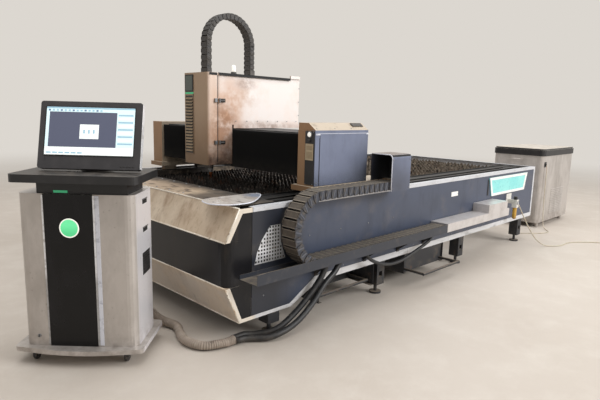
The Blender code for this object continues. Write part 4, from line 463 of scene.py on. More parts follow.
# Printed polyester plate, left bare
plate_beige = finish("polyester_plate_beige", "b5a488", 0.4, layers=[("8f7d62", 0.6, 0.5, (cloudy, 0.03, 0.5, 0.7))])
# Darker field on the same plate
plate_shade = finish("polyester_plate_shade", "a08f74", 0.4, layers=[("8a7960", 0.6, 0.5, (cloudy, 0.02, 0.5, 0.7))])
# Phosphated steel of the door's hinges: dark, browned at the edges
hinge_black = finish("phosphated_steel", "26221f", 0.45, 0.4, layers=[("4a3a2e", 0.5, 0.6, (cloudy, 0.01, 0.5, 0.7))])
# Printed polyester plate in white, left bare
plate_white = finish("polyester_plate_white", "f1f1ee", 0.35, layers=[("cfcbc2", 0.5, 0.4, (cloudy, 0.05, 0.5, 0.7))])
# Stamped louvres in black paint, their upper faces tan with dust
louvre_black = finish("black_painted_louvre", "1b1a19", 0.4, layers=[
    ("a98f6c", 0.95, 0.45, (facing, 2, 0.1, 0.6)),
    ("3f342a", 0.4, 0.7, (cloudy, 0.03, 0.55, 0.7)),
])
# Tinted acrylic window: deep green and glossy, paler at its top
window_glass = finish("dark_green_window", "16291f", 0.12, layers=[("23402f", 0.6, 0.2, (rising, 2, 1.64, 1.77))],
                      sockets={"Coat Weight": 0.6})
# Frosted polycarbonate lens of the lamp and the lit button
lamp_white = glowing("lamp_lens_white", "f4f2ea", 0.5)
# Green diffuser over a row of light diodes
bar_green = glowing("light_bar_green", "3fae7a", 0.35)
# Green diffuser of the console's disc, brighter above than below, left without a sign
disc_green = glowing("lit_disc_green", "68df9d", 0.6, layers=[("1c9a55", 0.9, 0.35, (rising, 2, 0.835, 0.785))])
# Liquid-crystal panel under glass: a slate canvas and plain panes in five shades
screen_glow = glowing("screen_canvas", "565b70", 0.35)
pane_pale = glowing("screen_pane_pale", "d9f1f6", 0.5)
pane_slate = glowing("screen_pane_slate", "6a7fa0", 0.35)
pane_white = glowing("screen_pane_white", "f4fbfb", 0.5)
pane_blue = glowing("screen_pane_blue", "9fc4d6", 0.4)

# Sheet and castings whose edges are rounded enough to catch the light
EDGE_R, EDGE_ANGLE = 0.0016, 40
FOLDED = {
    gantry_paint_lit, stained_enamel, trim_enamel, cover_enamel, brushed_stainless, cover_stainless, black_powder,
    screen_abs, box_enamel, shelf_paint, band_paint_shaded, castor_zinc, tyre_rubber,
}
# The nodes that scene pieces stand for need no finish of their own
DRESSED = {
    side_paint: ("side_panel_right", "side_panel_left"),
    band_paint_shaded: ("end_band",),
    shelf_paint: ("chain_tray",),
    gantry_paint_lit: ("box_cover", "hood"),
    stained_enamel: ("end_fascia_upper", "end_fascia_lower"),
    trim_enamel: ("top_trim",),
    cover_enamel: ("head_cover", "head_door"),
    frame_primer: ("bed_frame", "drawer_near", "drawer_far"),
    beam_primer: ("beam", "carriage"),
    lid_enamel: ("cabinet_top",),
    guard_black: ("rail_right",),
    rail_steel: ("rail_left",),
    vent_zinc: ("side_vent",),
    brushed_stainless: ("console_shell", "console_base", "cabinet_shell", "cabinet_door"),
    cover_stainless: ("side_cover",),
    black_powder: ("console_tray", "control_strip", "regulator_knob"),
    gloss_panel: ("console_front",),
    screen_abs: ("monitor",),
    box_enamel: ("box_right", "box_left"),
    tyre_rubber: ("wheel_front_left", "wheel_front_right", "wheel_rear_left", "wheel_rear_right"),
    castor_zinc: ("fork_left", "fork_right"),
    regulator_white: ("regulator_body",),
    bowl_resin: ("regulator_bowl",),
    plate_acrylic: ("side_plate",),
    lamp_white: ("strip_button",),
}


def soften_edges(made, width, angle):
    """Small round on the edges that turn by more than an angle in degrees."""
    edge = made.modifiers.new("soft_edges", "BEVEL")
    edge.width, edge.segments, edge.limit_method = width, 2, "ANGLE"
    edge.angle_limit = math.radians(angle)
    edge.harden_normals = True


for material, names in DRESSED.items():
    for name in names:
        slots = nodes[name].data.materials
        for k in range(len(slots)):
            slots[k] = material
        if material in FOLDED:
            soften_edges(nodes[name], EDGE_R, EDGE_ANGLE)


# ---- Camera, light and floor


def camera():
    """Camera at the photograph's place, with its lens and its slight roll."""
    ahead = Vector((math.cos(YAW) * math.cos(PITCH), math.sin(YAW) * math.cos(PITCH), -math.sin(PITCH)))
    level = Vector((math.sin(YAW), -math.cos(YAW), 0))
    down = ahead.cross(level)
    right = math.cos(ROLL) * level + math.sin(ROLL) * down
    down = math.cos(ROLL) * down - math.sin(ROLL) * level
    lens = bpy.data.cameras.new("photo_camera")
    lens.sensor_width = SENSOR
    lens.lens = FOCAL_PX * SENSOR / IMAGE_WIDE
    lens.clip_end = 60
    made = bpy.data.objects.new("photo_camera", lens)
    bpy.context.scene.collection.objects.link(made)
    place = Matrix((right, -down, -ahead)).transposed().to_4x4()
    place.translation = EYE - ORIGIN
    made.matrix_world = place
    bpy.context.scene.camera = made


def softbox(name, place, aim, wide, high, power):
    """Large soft lamp aimed at a point."""
    lamp = bpy.data.lights.new(name, "AREA")
    lamp.shape = "RECTANGLE"
    lamp.size, lamp.size_y, lamp.energy = wide, high, power
    made = bpy.data.objects.new(name, lamp)
    bpy.context.scene.collection.objects.link(made)
    made.location = Vector(place)
    made.rotation_euler = (Vector(aim) - Vector(place)).to_track_quat("-Z", "Y").to_euler()


BACKDROP = "dcd7d0"
FLOOR_MIDDLE = (2.5, 1.0, 0.0)
FADE_START, FADE_END = 4.5, 15.0


def backdrop_rays(tree):
    """One for the camera's own rays and those that gloss or glass sends on to the backdrop."""
    rays = add(tree, "ShaderNodeLightPath").outputs
    either = add(tree, "ShaderNodeMath", {"operation": "MAXIMUM"},
                 {0: rays["Is Camera Ray"], 1: rays["Is Glossy Ray"]})
    return add(tree, "ShaderNodeMath", {"operation": "MAXIMUM"},
               {0: either.outputs[0], 1: rays["Is Transmission Ray"]}).outputs[0]


def fade_to_backdrop(material):
    """The floor takes the backdrop's colour away from the machine, so that no edge shows behind it."""
    tree = material.node_tree
    place = add(tree, "ShaderNodeNewGeometry").outputs["Position"]
    away = add(tree, "ShaderNodeVectorMath", {"operation": "DISTANCE", 1: FLOOR_MIDDLE}, {0: place})
    far = add(tree, "ShaderNodeMapRange",
              {"interpolation_type": "SMOOTHSTEP", "From Min": FADE_START, "From Max": FADE_END},
              {"Value": away.outputs["Value"]})
    share = add(tree, "ShaderNodeMath", {"operation": "MULTIPLY"}, {0: far.outputs[0], 1: backdrop_rays(tree)})
    plain = add(tree, "ShaderNodeEmission", {"Color": srgb(BACKDROP), "Strength": 1.0})
    mix = add(tree, "ShaderNodeMixShader", {},
              {0: share.outputs[0], 1: tree.nodes["Principled BSDF"].outputs[0], 2: plain.outputs[0]})
    tree.links.new(mix.outputs[0], tree.nodes["Material Output"].inputs[0])
    return material


def studio():
    """Pale floor, pale surroundings and soft light from above and from the near side."""
    world = bpy.data.worlds.new("studio")
    world.use_nodes = True
    tree = world.node_tree
    light = tree.nodes["Background"]
    light.inputs["Color"].default_value = srgb("d8d4cf")
    light.inputs["Strength"].default_value = 0.6
    shown = add(tree, "ShaderNodeBackground", {"Color": srgb(BACKDROP), "Strength": 1.0})
    mix = add(tree, "ShaderNodeMixShader", {}, {0: backdrop_rays(tree), 1: light.outputs[0], 2: shown.outputs[0]})
    tree.links.new(mix.outputs[0], tree.nodes["World Output"].inputs[0])
    bpy.context.scene.world = world
    softbox("roof_light", (2.0, 1.0, 7.0), (2.0, 1.0, 0.5), 12.0, 9.0, 560)
    softbox("right_light", (7.0, -12.0, 7.5), (1.5, 0.5, 0.8), 9.0, 5.0, 1650)
    bpy.ops.mesh.primitive_plane_add(size=60, location=(3, 2, -0.0002))
    floor = bpy.context.object
    floor.name = "studio_floor"
    floor.data.materials.append(fade_to_backdrop(finish("sealed_concrete_pale", "c9c0b6", 0.6, layers=[
        ("b8ada1", 0.6, 0.7, (cloudy, 1.2, 0.35, 0.7)),
        ("d6cfc6", 0.5, 0.5, (cloudy, 0.3, 0.45, 0.7)),
    ], grain=(0.01, 0.0001))))


# ---- Shapes


def piece(name, shape, dress, body, soften=0.0, place=BED, smooth=False):
    """Finished piece from a shape in its maker's frame, with softened edges, riding on a body."""
    bmesh.ops.transform(shape, matrix=place, verts=shape.verts)
    bmesh.ops.recalc_face_normals(shape, faces=shape.faces)
    mesh = bpy.data.meshes.new(name)
    shape.to_mesh(mesh)
    shape.free()
    for material in dress if isinstance(dress, tuple) else (dress,):
        mesh.materials.append(material)
    if smooth:
        mesh.shade_smooth()
    made = bpy.data.objects.new(name, mesh)
    bpy.context.scene.collection.objects.link(made)
    if soften:
        soften_edges(made, soften, 30)
    if body:
        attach(made, body)
    return made


def block(shape, low, high, coat=0):
    """Six-sided bar between two corners."""
    middle = (Vector(low) + Vector(high)) / 2
    cell = bmesh.ops.create_cube(shape, size=1.0)["verts"]
    place = Matrix.Translation(middle) @ Matrix.Diagonal((*(Vector(high) - Vector(low)), 1.0))
    bmesh.ops.transform(shape, matrix=place, verts=cell)
    for face in {f for v in cell for f in v.link_faces}:
        face.material_index = coat


def blocks(shape, *bars):
    """Several bars, each its two corners and its coat where that isn't the first."""
    for bar in bars:
        block(shape, *bar)


def skin(shape, rings, coat, smooth):
    """Faces from each ring of points to the next, closed at both ends."""
    count = len(rings[0])
    faces = [shape.faces.new(rings[0]), shape.faces.new(rings[-1][::-1])]
    for a, b in zip(rings, rings[1:]):
        for k in range(count):
            n = (k + 1) % count
            faces.append(shape.faces.new((a[k], b[k], b[n], a[n])))
    for face in faces:
        face.material_index = coat
        face.smooth = smooth and len(face.verts) == 4


def slab(shape, outline, axis, start, end, coat=0):
    """Flat plate of an outline, from start to end along an axis; the outline's own axes follow in order."""
    rings = []
    for level in (start, end):
        spots = [[a, b] for a, b in outline]
        for spot in spots:
            spot.insert(axis, level)
        rings.append([shape.verts.new(spot) for spot in spots])
    skin(shape, rings, coat, False)


def circle(shape, middle, side, up, radius, sides):
    """Ring of points about a middle, in the plane of two directions."""
    angles = [2 * math.pi * k / sides for k in range(sides)]
    return [shape.verts.new(middle + radius * (side * math.cos(a) + up * math.sin(a))) for a in angles]


def turned(shape, profile, centre, along, sides=24, coat=0):
    """Turned form: rings of (distance along, radius) about a line from a centre."""
    along = Vector(along).normalized()
    side = along.orthogonal().normalized()
    up = along.cross(side)
    rings = [circle(shape, Vector(centre) + along * reach, side, up, radius, sides) for reach, radius in profile]
    skin(shape, rings, coat, True)


def swept(shape, route, radius, sides=14, coat=0):
    """Round tube along a route, with a radius at each point, closed at both ends."""
    points = [Vector(p) for p in route]
    side = (points[1] - points[0]).orthogonal().normalized()
    rings = []
    for k, point in enumerate(points):
        ahead = (points[min(k + 1, len(points) - 1)] - points[max(k - 1, 0)]).normalized()
        side = (side - ahead * side.dot(ahead)).normalized()
        wide = radius[k] if isinstance(radius, list) else radius
        rings.append(circle(shape, point, side, ahead.cross(side), wide, sides))
    skin(shape, rings, coat, True)


def hexagon_bolt(shape, centre, along, across, high, coat=0):
    """Hexagon bolt head standing on a washer."""
    washer, flat = across * 0.62, across / 2
    turned(shape, [(0, washer), (high * 0.2, washer)], centre, along, 16, coat)
    turned(shape, [(high * 0.2, flat), (high * 0.9, flat), (high, across * 0.42)], centre, along, 6, coat)


# Heads of small screws as (height, radius) from the sheet up
DOOR_SCREW = (0, 0.005), (0.0015, 0.0048), (0.0024, 0.003)
HINGE_SCREW = (0, 0.006), (0.0016, 0.006), (0.003, 0.0036)
LID_SCREW = (0, 0.0045), (0.002, 0.0042), (0.003, 0.0026)
COVER_SCREW = (0, 0.0052), (0.002, 0.005), (0.0032, 0.003)
SIDE_SCREW = (0, 0.0055), (0.002, 0.0052), (0.0034, 0.003)
DECK_SCREW = (0, 0.009), (0.002, 0.0085), (0.004, 0.005)
PLATE_SCREW = (0, 0.009), (0.001, 0.0085), (0.0014, 0.006)
STRIP_SCREW = (0, 0.0036), (0.0016, 0.003)
CLAMP_SCREW = (0, 0.006), (0.005, 0.006)


def screws(shape, head, spots, along=(0, -1, 0), sides=14, coat=0):
    """Screw heads of one kind at several places."""
    for spot in spots:
        turned(shape, head, spot, along, sides, coat)


def smooth_between(a, b, c, d, steps):
    """Points of the smooth curve from b to c, with the places before and after it."""
    steps = [k / steps for k in range(steps)]
    return [((2 * b) + (c - a) * t + (2 * a - 5 * b + 4 * c - d) * t ** 2 + (3 * b - a - 3 * c + d) * t ** 3) / 2
            for t in steps]


# ---- Cords

CURVE_STEPS = 12


def lie(points, spacing):
    """Evenly spaced points on the smooth curve of a cord, straight where it meets its fittings."""
    route = [Vector(p) for p in points]
    fine = [p for k in range(1, len(route) - 2) for p in smooth_between(*route[k - 1:k + 3], CURVE_STEPS)]
    fine = [route[0], *fine, route[-2], route[-1]]
    reach = [0.0]
    for a, b in zip(fine, fine[1:]):
        reach.append(reach[-1] + (b - a).length)
    count = max(8, round(reach[-1] / spacing))
    even, spot = [], 0
    for k in range(count + 1):
        goal = reach[-1] * k / count
        while spot < len(fine) - 2 and reach[spot + 1] < goal:
            spot += 1
        even.append(fine[spot].lerp(fine[spot + 1], (goal - reach[spot]) / (reach[spot + 1] - reach[spot])))
    return even, reach[-1]


HOSE_OUTER = (
    (0.87, -0.075, 0.4497), (0.87, -0.075, 0.415), (0.81, -0.08, 0.352), (0.7, -0.088, 0.29), (0.56, -0.1, 0.175),
    (0.39, -0.105, 0.08), (0.22, -0.08, 0.035), (0.12, -0.005, 0.028), (0.06, 0.032, 0.031), (0.0003, 0.033, 0.031),
)
HOSE_INNER = (
    (0.72, -0.075, 0.4497), (0.72, -0.075, 0.415), (0.68, -0.07, 0.34), (0.59, -0.06, 0.24), (0.45, -0.05, 0.13),
    (0.29, -0.034, 0.05), (0.17, 0.04, 0.026), (0.11, 0.074, 0.03), (0.06, 0.077, 0.031), (0.0003, 0.077, 0.031),
)
DRAIN = (
    (1.18, -0.08, 0.4497), (1.18, -0.08, 0.415), (1.26, -0.09, 0.35), (1.42, -0.1, 0.296), (1.62, -0.1, 0.286),
    (1.86, -0.095, 0.33), (2.06, -0.09, 0.378), (2.12, -0.085, 0.415), (2.12, -0.085, 0.4497),
)
CONDUIT = (
    (0.0, 0.055, 0.031), (-0.06, 0.055, 0.031), (-0.19, 0.11, 0.031), (-0.235, 0.24, 0.031), (-0.205, 0.37, 0.031),
    (-0.16, 0.49, 0.031), (-0.203, 0.635, 0.05), (-0.263, 0.73, 0.15), (-0.312, 0.744, 0.265), (-0.365, 0.712, 0.3),
    (-0.394, 0.684, 0.3), (-0.429, 0.649, 0.3), (-0.464, 0.614, 0.3),
)
AIR_LINE = (
    (3.9283, -0.085, 0.52), (3.945, -0.085, 0.52), (3.995, -0.09, 0.495), (4.06, -0.12, 0.38), (4.13, -0.18, 0.22),
    (4.2, -0.245, 0.09), (4.27, -0.308, 0.024), (4.35, -0.37, 0.0085), (4.48, -0.435, 0.0072), (4.7, -0.45, 0.007),
    (4.88, -0.56, 0.007), (5.08, -0.76, 0.007), (5.3, -0.9, 0.007),
)
CABINET_CABLE = (
    (5.33, 0.1397, 0.87), (5.33, 0.125, 0.87), (5.322, 0.112, 0.8), (5.318, 0.11, 0.7), (5.312, 0.105, 0.45),
    (5.3, 0.09, 0.18), (5.27, 0.06, 0.04), (5.22, 0.0, 0.006), (5.12, -0.06, 0.006), (4.96, -0.03, 0.006),
    (4.8, 0.1, 0.006), (4.72, 0.18, 0.02), (4.68, 0.21, 0.12), (4.67, 0.22, 0.25), (4.63, 0.22, 0.35),
    (4.6003, 0.22, 0.35),
)
# Name, route, radius, material, slot, far end, stiffness, and the pitch of its rings where it is corrugated
CORDS = (
    ("hose_outer", HOSE_OUTER, 0.021, hose_rubber, "hose_black", "object", "stiff", 0),
    ("hose_inner", HOSE_INNER, 0.021, hose_rubber, "hose_black", "object", "stiff", 0),
    ("drain_hose", DRAIN, 0.014, hose_rubber, "hose_black", "object", "medium", 0),
    ("conduit", CONDUIT, 0.03, conduit_nylon, "conduit_beige", "object", "stiff", 0.014),
    ("air_line", AIR_LINE, 0.006, air_line_pu, "line_pale", "fitting", "medium", 0),
    ("cabinet_cable", CABINET_CABLE, 0.005, air_line_pu, "line_pale", "object", "medium", 0),
)
GROOVE = 0.8
COUPLING = ((-0.018, 0.0068), (-0.016, 0.0075), (0.002, 0.0075), (0.003, 0.0085), (0.012, 0.0085), (0.013, 0.007),
            (0.022, 0.0068), (0.024, 0.0045), (0.034, 0.0045), (0.035, 0.0038))
COUPLING_RISE = Vector((0, 0, 0.002))


def cords():
    """The machine's free hoses, conduit and lines, with the coupling on the air line's end."""
    for name, points, radius, dress, slot, far_end, stiffness, pitch in CORDS:
        shape = bmesh.new()
        path, length = lie(points, pitch / 4 if pitch else 1.6 * radius)
        rings = [radius * (GROOVE if k % 4 > 1 else 1) for k in range(len(path))] if pitch else radius
        swept(shape, path, rings, 16)
        made = piece(f"{name}_tube", shape, dress, "bed", smooth=True)
        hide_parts(name)
        if far_end == "fitting":
            shape = bmesh.new()
            turned(shape, COUPLING, path[-1] + COUPLING_RISE, path[-1] - path[-2], 20)
            piece("air_coupling", shape, bolt_steel, "bed")


# ---- Energy chains


def chain_link(shape, place, long, wide, high, wall):
    """One link of a cable carrier: ribbed lids above and below and two lapped side plates.

    Its length runs along X, its width along Y and its outer lid faces +Z before placing.
    """
    start = len(shape.verts)
    h, lid = high / 2, high * 0.11
    for top in (1, -1):
        low, full = sorted((top * h * 0.96, top * (h - lid)))
        block(shape, (long * 0.03, wall, low), (long * 0.93, wide - wall, full))
        low, full = sorted((top * h, top * (h - lid)))
        for rib in (0.03, 0.82):
            block(shape, (long * rib, wall * 0.6, low), (long * (rib + 0.11), wide - wall * 0.6, full), 1)
    # Outlines of the inner lug, the outer cheek and the raised slash on it, in shares of length and half height
    lug = (-0.22, -0.45), (-0.044, -0.93), (0.55, -0.93), (0.55, 0.93), (-0.044, 0.93), (-0.22, 0.45)
    cheek = (0.34, -1), (0.92, -1), (1.1, -0.5), (1.1, 0.5), (0.92, 1), (0.34, 1), (0.24, 0)
    slash = (0.4, -0.82), (0.56, -0.82), (0.86, 0.82), (0.7, 0.82)
    for far in (False, True):
        for outline, a, b, coat in ((lug, 0.45, 1, 0), (cheek, 0, 0.6, 0), (slash, -0.16, 0.2, 1)):
            ends = (wide - wall * b, wide - wall * a) if far else (wall * a, wall * b)
            slab(shape, [(long * x, h * z) for x, z in outline], 1, *ends, coat)
    shape.verts.ensure_lookup_table()
    bmesh.ops.transform(shape, matrix=place, verts=shape.verts[start:])


def straight_links(shape, start, end, level, size, count, flip=False):
    """Row of links between two places along X, outer lids up or down; the size is (back, wide, high, wall)."""
    long = (end - start) / count
    for k in range(count):
        place = Matrix.Translation((start + k * long, size[0], level))
        if flip:
            place = place @ Matrix.Translation((long, 0, 0)) @ Matrix.Rotation(math.pi, 4, "Y")
        chain_link(shape, place, long, *size[1:])


def curved_links(shape, centre, radius, first, size, count):
    """Row of links round half a turn in the XZ plane, outer lids outward."""
    step = math.pi / count
    long = step * radius
    for k in range(count):
        angle = first + step * (k + 0.5)
        spot = Vector((centre[0] + radius * math.cos(angle), size[0], centre[1] + radius * math.sin(angle)))
        place = Matrix.Translation(spot) @ Matrix.Rotation(math.pi / 2 - angle, 4, "Y")
        chain_link(shape, place @ Matrix.Translation((-long / 2, 0, 0)), long, *size[1:])


def standing_links(shape, low, high, x, outward, size, count):
    """Row of links standing between two heights, outer lids outward along X."""
    first = len(shape.verts)
    straight_links(shape, low, high, 0, size, count)
    shape.verts.ensure_lookup_table()
    stand = Matrix(((0, 0, outward, x), (0, 1, 0, 0), (1, 0, 0, 0), (0, 0, 0, 1)))
    bmesh.ops.transform(shape, matrix=stand, verts=shape.verts[first:])


XCHAIN_CENTRE = (0.585, 0.7183)
XCHAIN_R = 0.232
XCHAIN_SIZE = XCHAIN_BACK, XCHAIN_WIDE, XCHAIN_HIGH, XCHAIN_WALL = -0.162, 0.134, 0.064, 0.012
XCHAIN_END, XCHAIN_FIXED, XCHAIN_TAIL = 1.478, 2.222, 0.25
ZCHAIN_CENTRE = (0.785, 2.035)
ZCHAIN_R = 0.2225
ZCHAIN_SIZE = 1.12, 0.09, 0.044, 0.009
ZCHAIN_FOOT, ZCHAIN_LOW, ZCHAIN_SHELF = 1.8, 1.625, 1.7853


def x_chain():
    """Cable carrier of the long axis: the bend rides between its runs."""
    dress = (carrier_nylon, carrier_worn)
    x, z = XCHAIN_CENTRE
    shape = bmesh.new()
    straight_links(shape, x, XCHAIN_END, z + XCHAIN_R, XCHAIN_SIZE, 15)
    upper = piece("chain_upper_links", shape, dress, None)
    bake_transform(upper)
    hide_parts("chain_upper")
    shape = bmesh.new()
    curved_links(shape, XCHAIN_CENTRE, XCHAIN_R, math.pi / 2, XCHAIN_SIZE, 13)
    bend = piece("chain_bend_links", shape, dress, "chain_bend")
    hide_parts("chain_bend")
    shape = bmesh.new()
    straight_links(shape, x, XCHAIN_FIXED, z - XCHAIN_R, XCHAIN_SIZE, 28, flip=True)
    lower = piece("chain_lower_links", shape, dress, "bed")
    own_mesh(lower)
    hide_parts("chain_lower")
    shape = bmesh.new()
    tail = (XCHAIN_BACK + 0.006, XCHAIN_WIDE - 0.012, XCHAIN_HIGH - 0.01, XCHAIN_WALL)
    straight_links(shape, x, x + XCHAIN_TAIL, z - XCHAIN_R, tail, 4, flip=True)
    piece("chain_tail_links", shape, dress, "chain_bend")


def z_chain():
    """Arched cable carrier above the head, its front leg going down to the Z slide."""
    dress = (head_nylon, head_nylon_worn)
    x, z = ZCHAIN_CENTRE
    foot = x + ZCHAIN_R
    shape = bmesh.new()
    curved_links(shape, ZCHAIN_CENTRE, ZCHAIN_R, 0, ZCHAIN_SIZE, 17)
    standing_links(shape, ZCHAIN_FOOT, z, foot, 1, ZCHAIN_SIZE, 6)
    blocks(shape, ((foot - 0.04, 1.116, ZCHAIN_SHELF), (foot + 0.045, 1.214, 1.79), 1),
           ((foot - 0.024, 1.116, ZCHAIN_SHELF), (foot + 0.024, 1.12, 1.836), 1))
    for dx in (-0.03, 0.034):
        hexagon_bolt(shape, (foot + dx, 1.135, 1.79), (0, 0, 1), 0.01, 0.006, 1)
    arch = piece("z_chain_links", shape, dress, "head")
    shape = bmesh.new()
    standing_links(shape, ZCHAIN_LOW, z, x - ZCHAIN_R, -1, ZCHAIN_SIZE, 8)
    leg = piece("z_chain_leg", shape, dress, None)
    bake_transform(leg)
    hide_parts("z_chain")


# ---- Bellows

PLEAT = 0.0105
PLEAT_FRONT, PLEAT_REAR = 0.7005, 0.726
BELLOWS_BACK = 0.7345
BELLOWS_ROWS = 1.031, 1.036, 1.339


def bellows(name, node, start, end):
    """Pleated curtain over the cross rail, from its end on the gantry to its end on the head."""
    near, far = sorted((start, end))
    count = round((far - near) / PLEAT)
    pitch = (far - near) / count
    shape = bmesh.new()
    columns, backs = [], []
    for k in range(2 * count + 1):
        x = PLEAT_FRONT if k % 2 else PLEAT_REAR
        y = near + k * pitch / 2
        columns.append([shape.verts.new((x if level > BELLOWS_ROWS[0] else x + 0.002, y, level))
                        for level in BELLOWS_ROWS])
    for k in range(2 * count + 1):
        backs.append([shape.verts.new((BELLOWS_BACK, columns[k][0].co.y, level)) for level in BELLOWS_ROWS])
    for sheet, turn in ((columns, 1), (backs, -1)):
        for a, b in zip(sheet, sheet[1:]):
            for low in (0, 1):
                shape.faces.new((a[low], b[low], b[low + 1], a[low + 1])[::turn])
    for a, b, c, d in zip(columns, columns[1:], backs, backs[1:]):
        for row in (0, 2):
            shape.faces.new((a[row], b[row], d[row], c[row]))
    for front, back in ((columns[0], backs[0]), (columns[-1], backs[-1])):
        for low in (0, 1):
            shape.faces.new((front[low], front[low + 1], back[low + 1], back[low]))
    made = piece(name, shape, bellows_cloth, None)
    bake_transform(made)
    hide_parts(node)


# ---- Slat table

SLATS = 32
TEETH = 33
SLAT_HALF = 0.0025
TABLE_NEAR, TABLE_FAR = 0.35, 4.4
TABLE_RIGHT, TABLE_LEFT = 0.33, BED_WIDTH - 0.33
TABLE_LOW, TABLE_HIGH = 0.76, 0.782
TOOTH_LOW, TOOTH_TOP, TOOTH_WEAR = 0.848, 0.885, 0.016
SLAG_DROPS = 150


def slats():
    """Toothed slats of the cutting table, notched and blobbed by the cutting, in their welded frame."""
    draw = random.Random(7)
    shape = bmesh.new()
    for low in (TABLE_RIGHT, TABLE_LEFT - 0.03):
        block(shape, (TABLE_NEAR, low, TABLE_LOW), (TABLE_FAR, low + 0.03, 0.835))
    block(shape, (TABLE_NEAR, BED_WIDTH / 2 - 0.015, TABLE_LOW), (TABLE_FAR, BED_WIDTH / 2 + 0.015, TABLE_HIGH))
    for x in (TABLE_NEAR, TABLE_FAR - 0.03):
        block(shape, (x, TABLE_RIGHT, TABLE_LOW), (x + 0.03, TABLE_LEFT, TABLE_HIGH))
    right, left = TABLE_RIGHT + 0.015, TABLE_LEFT - 0.015
    tooth = (left - right) / TEETH
    first, pitch = TABLE_NEAR + 0.03, (TABLE_FAR - TABLE_NEAR - 0.06) / (SLATS - 1)
    for k in range(SLATS):
        x = first + k * pitch
        outline = [(left, 0.78), (right, 0.78)]
        for j in range(TEETH):
            y = right + j * tooth
            worn = TOOTH_TOP - draw.random() ** 3 * TOOTH_WEAR
            outline.append((y, TOOTH_LOW + draw.uniform(-0.003, 0.003)))
            outline.append((y + tooth * (0.4 + draw.uniform(-0.04, 0.04)), worn))
            outline.append((y + tooth * 0.58, worn - draw.uniform(0.0, 0.006)))
        outline.append((left, TOOTH_LOW))
        slab(shape, outline, 0, x - SLAT_HALF, x + SLAT_HALF)
    for _ in range(SLAG_DROPS):
        x = first + draw.randrange(SLATS) * pitch + draw.choice((-1, 1)) * 0.003
        y = draw.uniform(right + 0.03, left - 0.03)
        drop = bmesh.ops.create_icosphere(shape, subdivisions=1, radius=draw.uniform(0.003, 0.008))["verts"]
        squash = Matrix.Diagonal((0.6, draw.uniform(0.8, 1.8), draw.uniform(0.6, 1.4), 1))
        place = Matrix.Translation((x, y, draw.uniform(0.8, 0.865)))
        bmesh.ops.transform(shape, matrix=place @ squash, verts=drop)
    made = piece("toothed_slats", shape, slag_steel, "bed")
    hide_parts("slat_table")


# ---- Head

COVER_SIDE = 0.99
DOOR_FACE = 0.975
PANEL_X = 0.4545
PANEL_RIGHT, PANEL_LEFT = 1.192, 1.308
PANEL_LOW, PANEL_TOP = 1.128, 1.612
LOUVRES = 18
HINGE_LEVELS = 1.234, 1.568
LAMP_FOOT = (0.76, 1.06, 1.7853)


def head_panel():
    """Louvred front panel with its frame, light bar and window."""
    x, low, high = PANEL_X, PANEL_RIGHT, PANEL_LEFT
    shape = bmesh.new()
    block(shape, (x - 0.0022, low, PANEL_LOW), (x, high, PANEL_TOP), 1)
    pitch = (1.59 - 1.142) / LOUVRES
    for k in range(LOUVRES):
        z = 1.142 + k * pitch
        fin = ((x - 0.0022, z), (x - 0.0095, z + pitch * 0.18), (x - 0.0095, z + pitch * 0.34),
               (x - 0.0022, z + pitch * 0.92))
        slab(shape, fin, 1, low + 0.008, high - 0.008, 1)
    for z in (PANEL_LOW, PANEL_TOP - 0.008):
        block(shape, (x - 0.004, low, z), (x, high, z + 0.008))
    for y in (low - 0.002, high - 0.004):
        block(shape, (x - 0.004, y, PANEL_LOW), (x, y + 0.006, PANEL_TOP))
    blocks(shape, ((x - 0.003, low, 1.616), (x, high, 1.63), 2), ((x - 0.006, low, 1.634), (x, high, 1.77), 3),
           ((x - 0.0065, low + 0.01, 1.644), (x - 0.0058, high - 0.01, 1.76), 4))
    front = piece("head_louvres", shape, (cover_enamel, louvre_black, bar_green, black_powder, window_glass),
                  "head", 0.0006)
    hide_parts("head_front")


def door_hinges():
    """Posts on the cover and leaves on the door, with their pins and screws."""
    post, leaf = bmesh.new(), bmesh.new()
    for z in HINGE_LEVELS:
        block(post, (0.514, COVER_SIDE - 0.015, z - 0.015), (0.5365, COVER_SIDE - 0.0002, z + 0.015), 1)
        block(leaf, (0.553, DOOR_FACE - 0.0024, z - 0.015), (0.612, DOOR_FACE - 0.0003, z + 0.015))
        turned(leaf, [(0, 0.0058), (0.034, 0.0058)], (0.5555, DOOR_FACE - 0.0062, z - 0.017), (0, 0, 1), 16, 1)
        screws(leaf, HINGE_SCREW, [(x, DOOR_FACE - 0.0024, z) for x in (0.576, 0.596)], coat=1)
    piece("hinge_posts", post, (hinge_black, bolt_steel), "head", 0.0006)
    piece("hinge_leaves", leaf, (hinge_black, bolt_steel), "head_door", 0.0004)


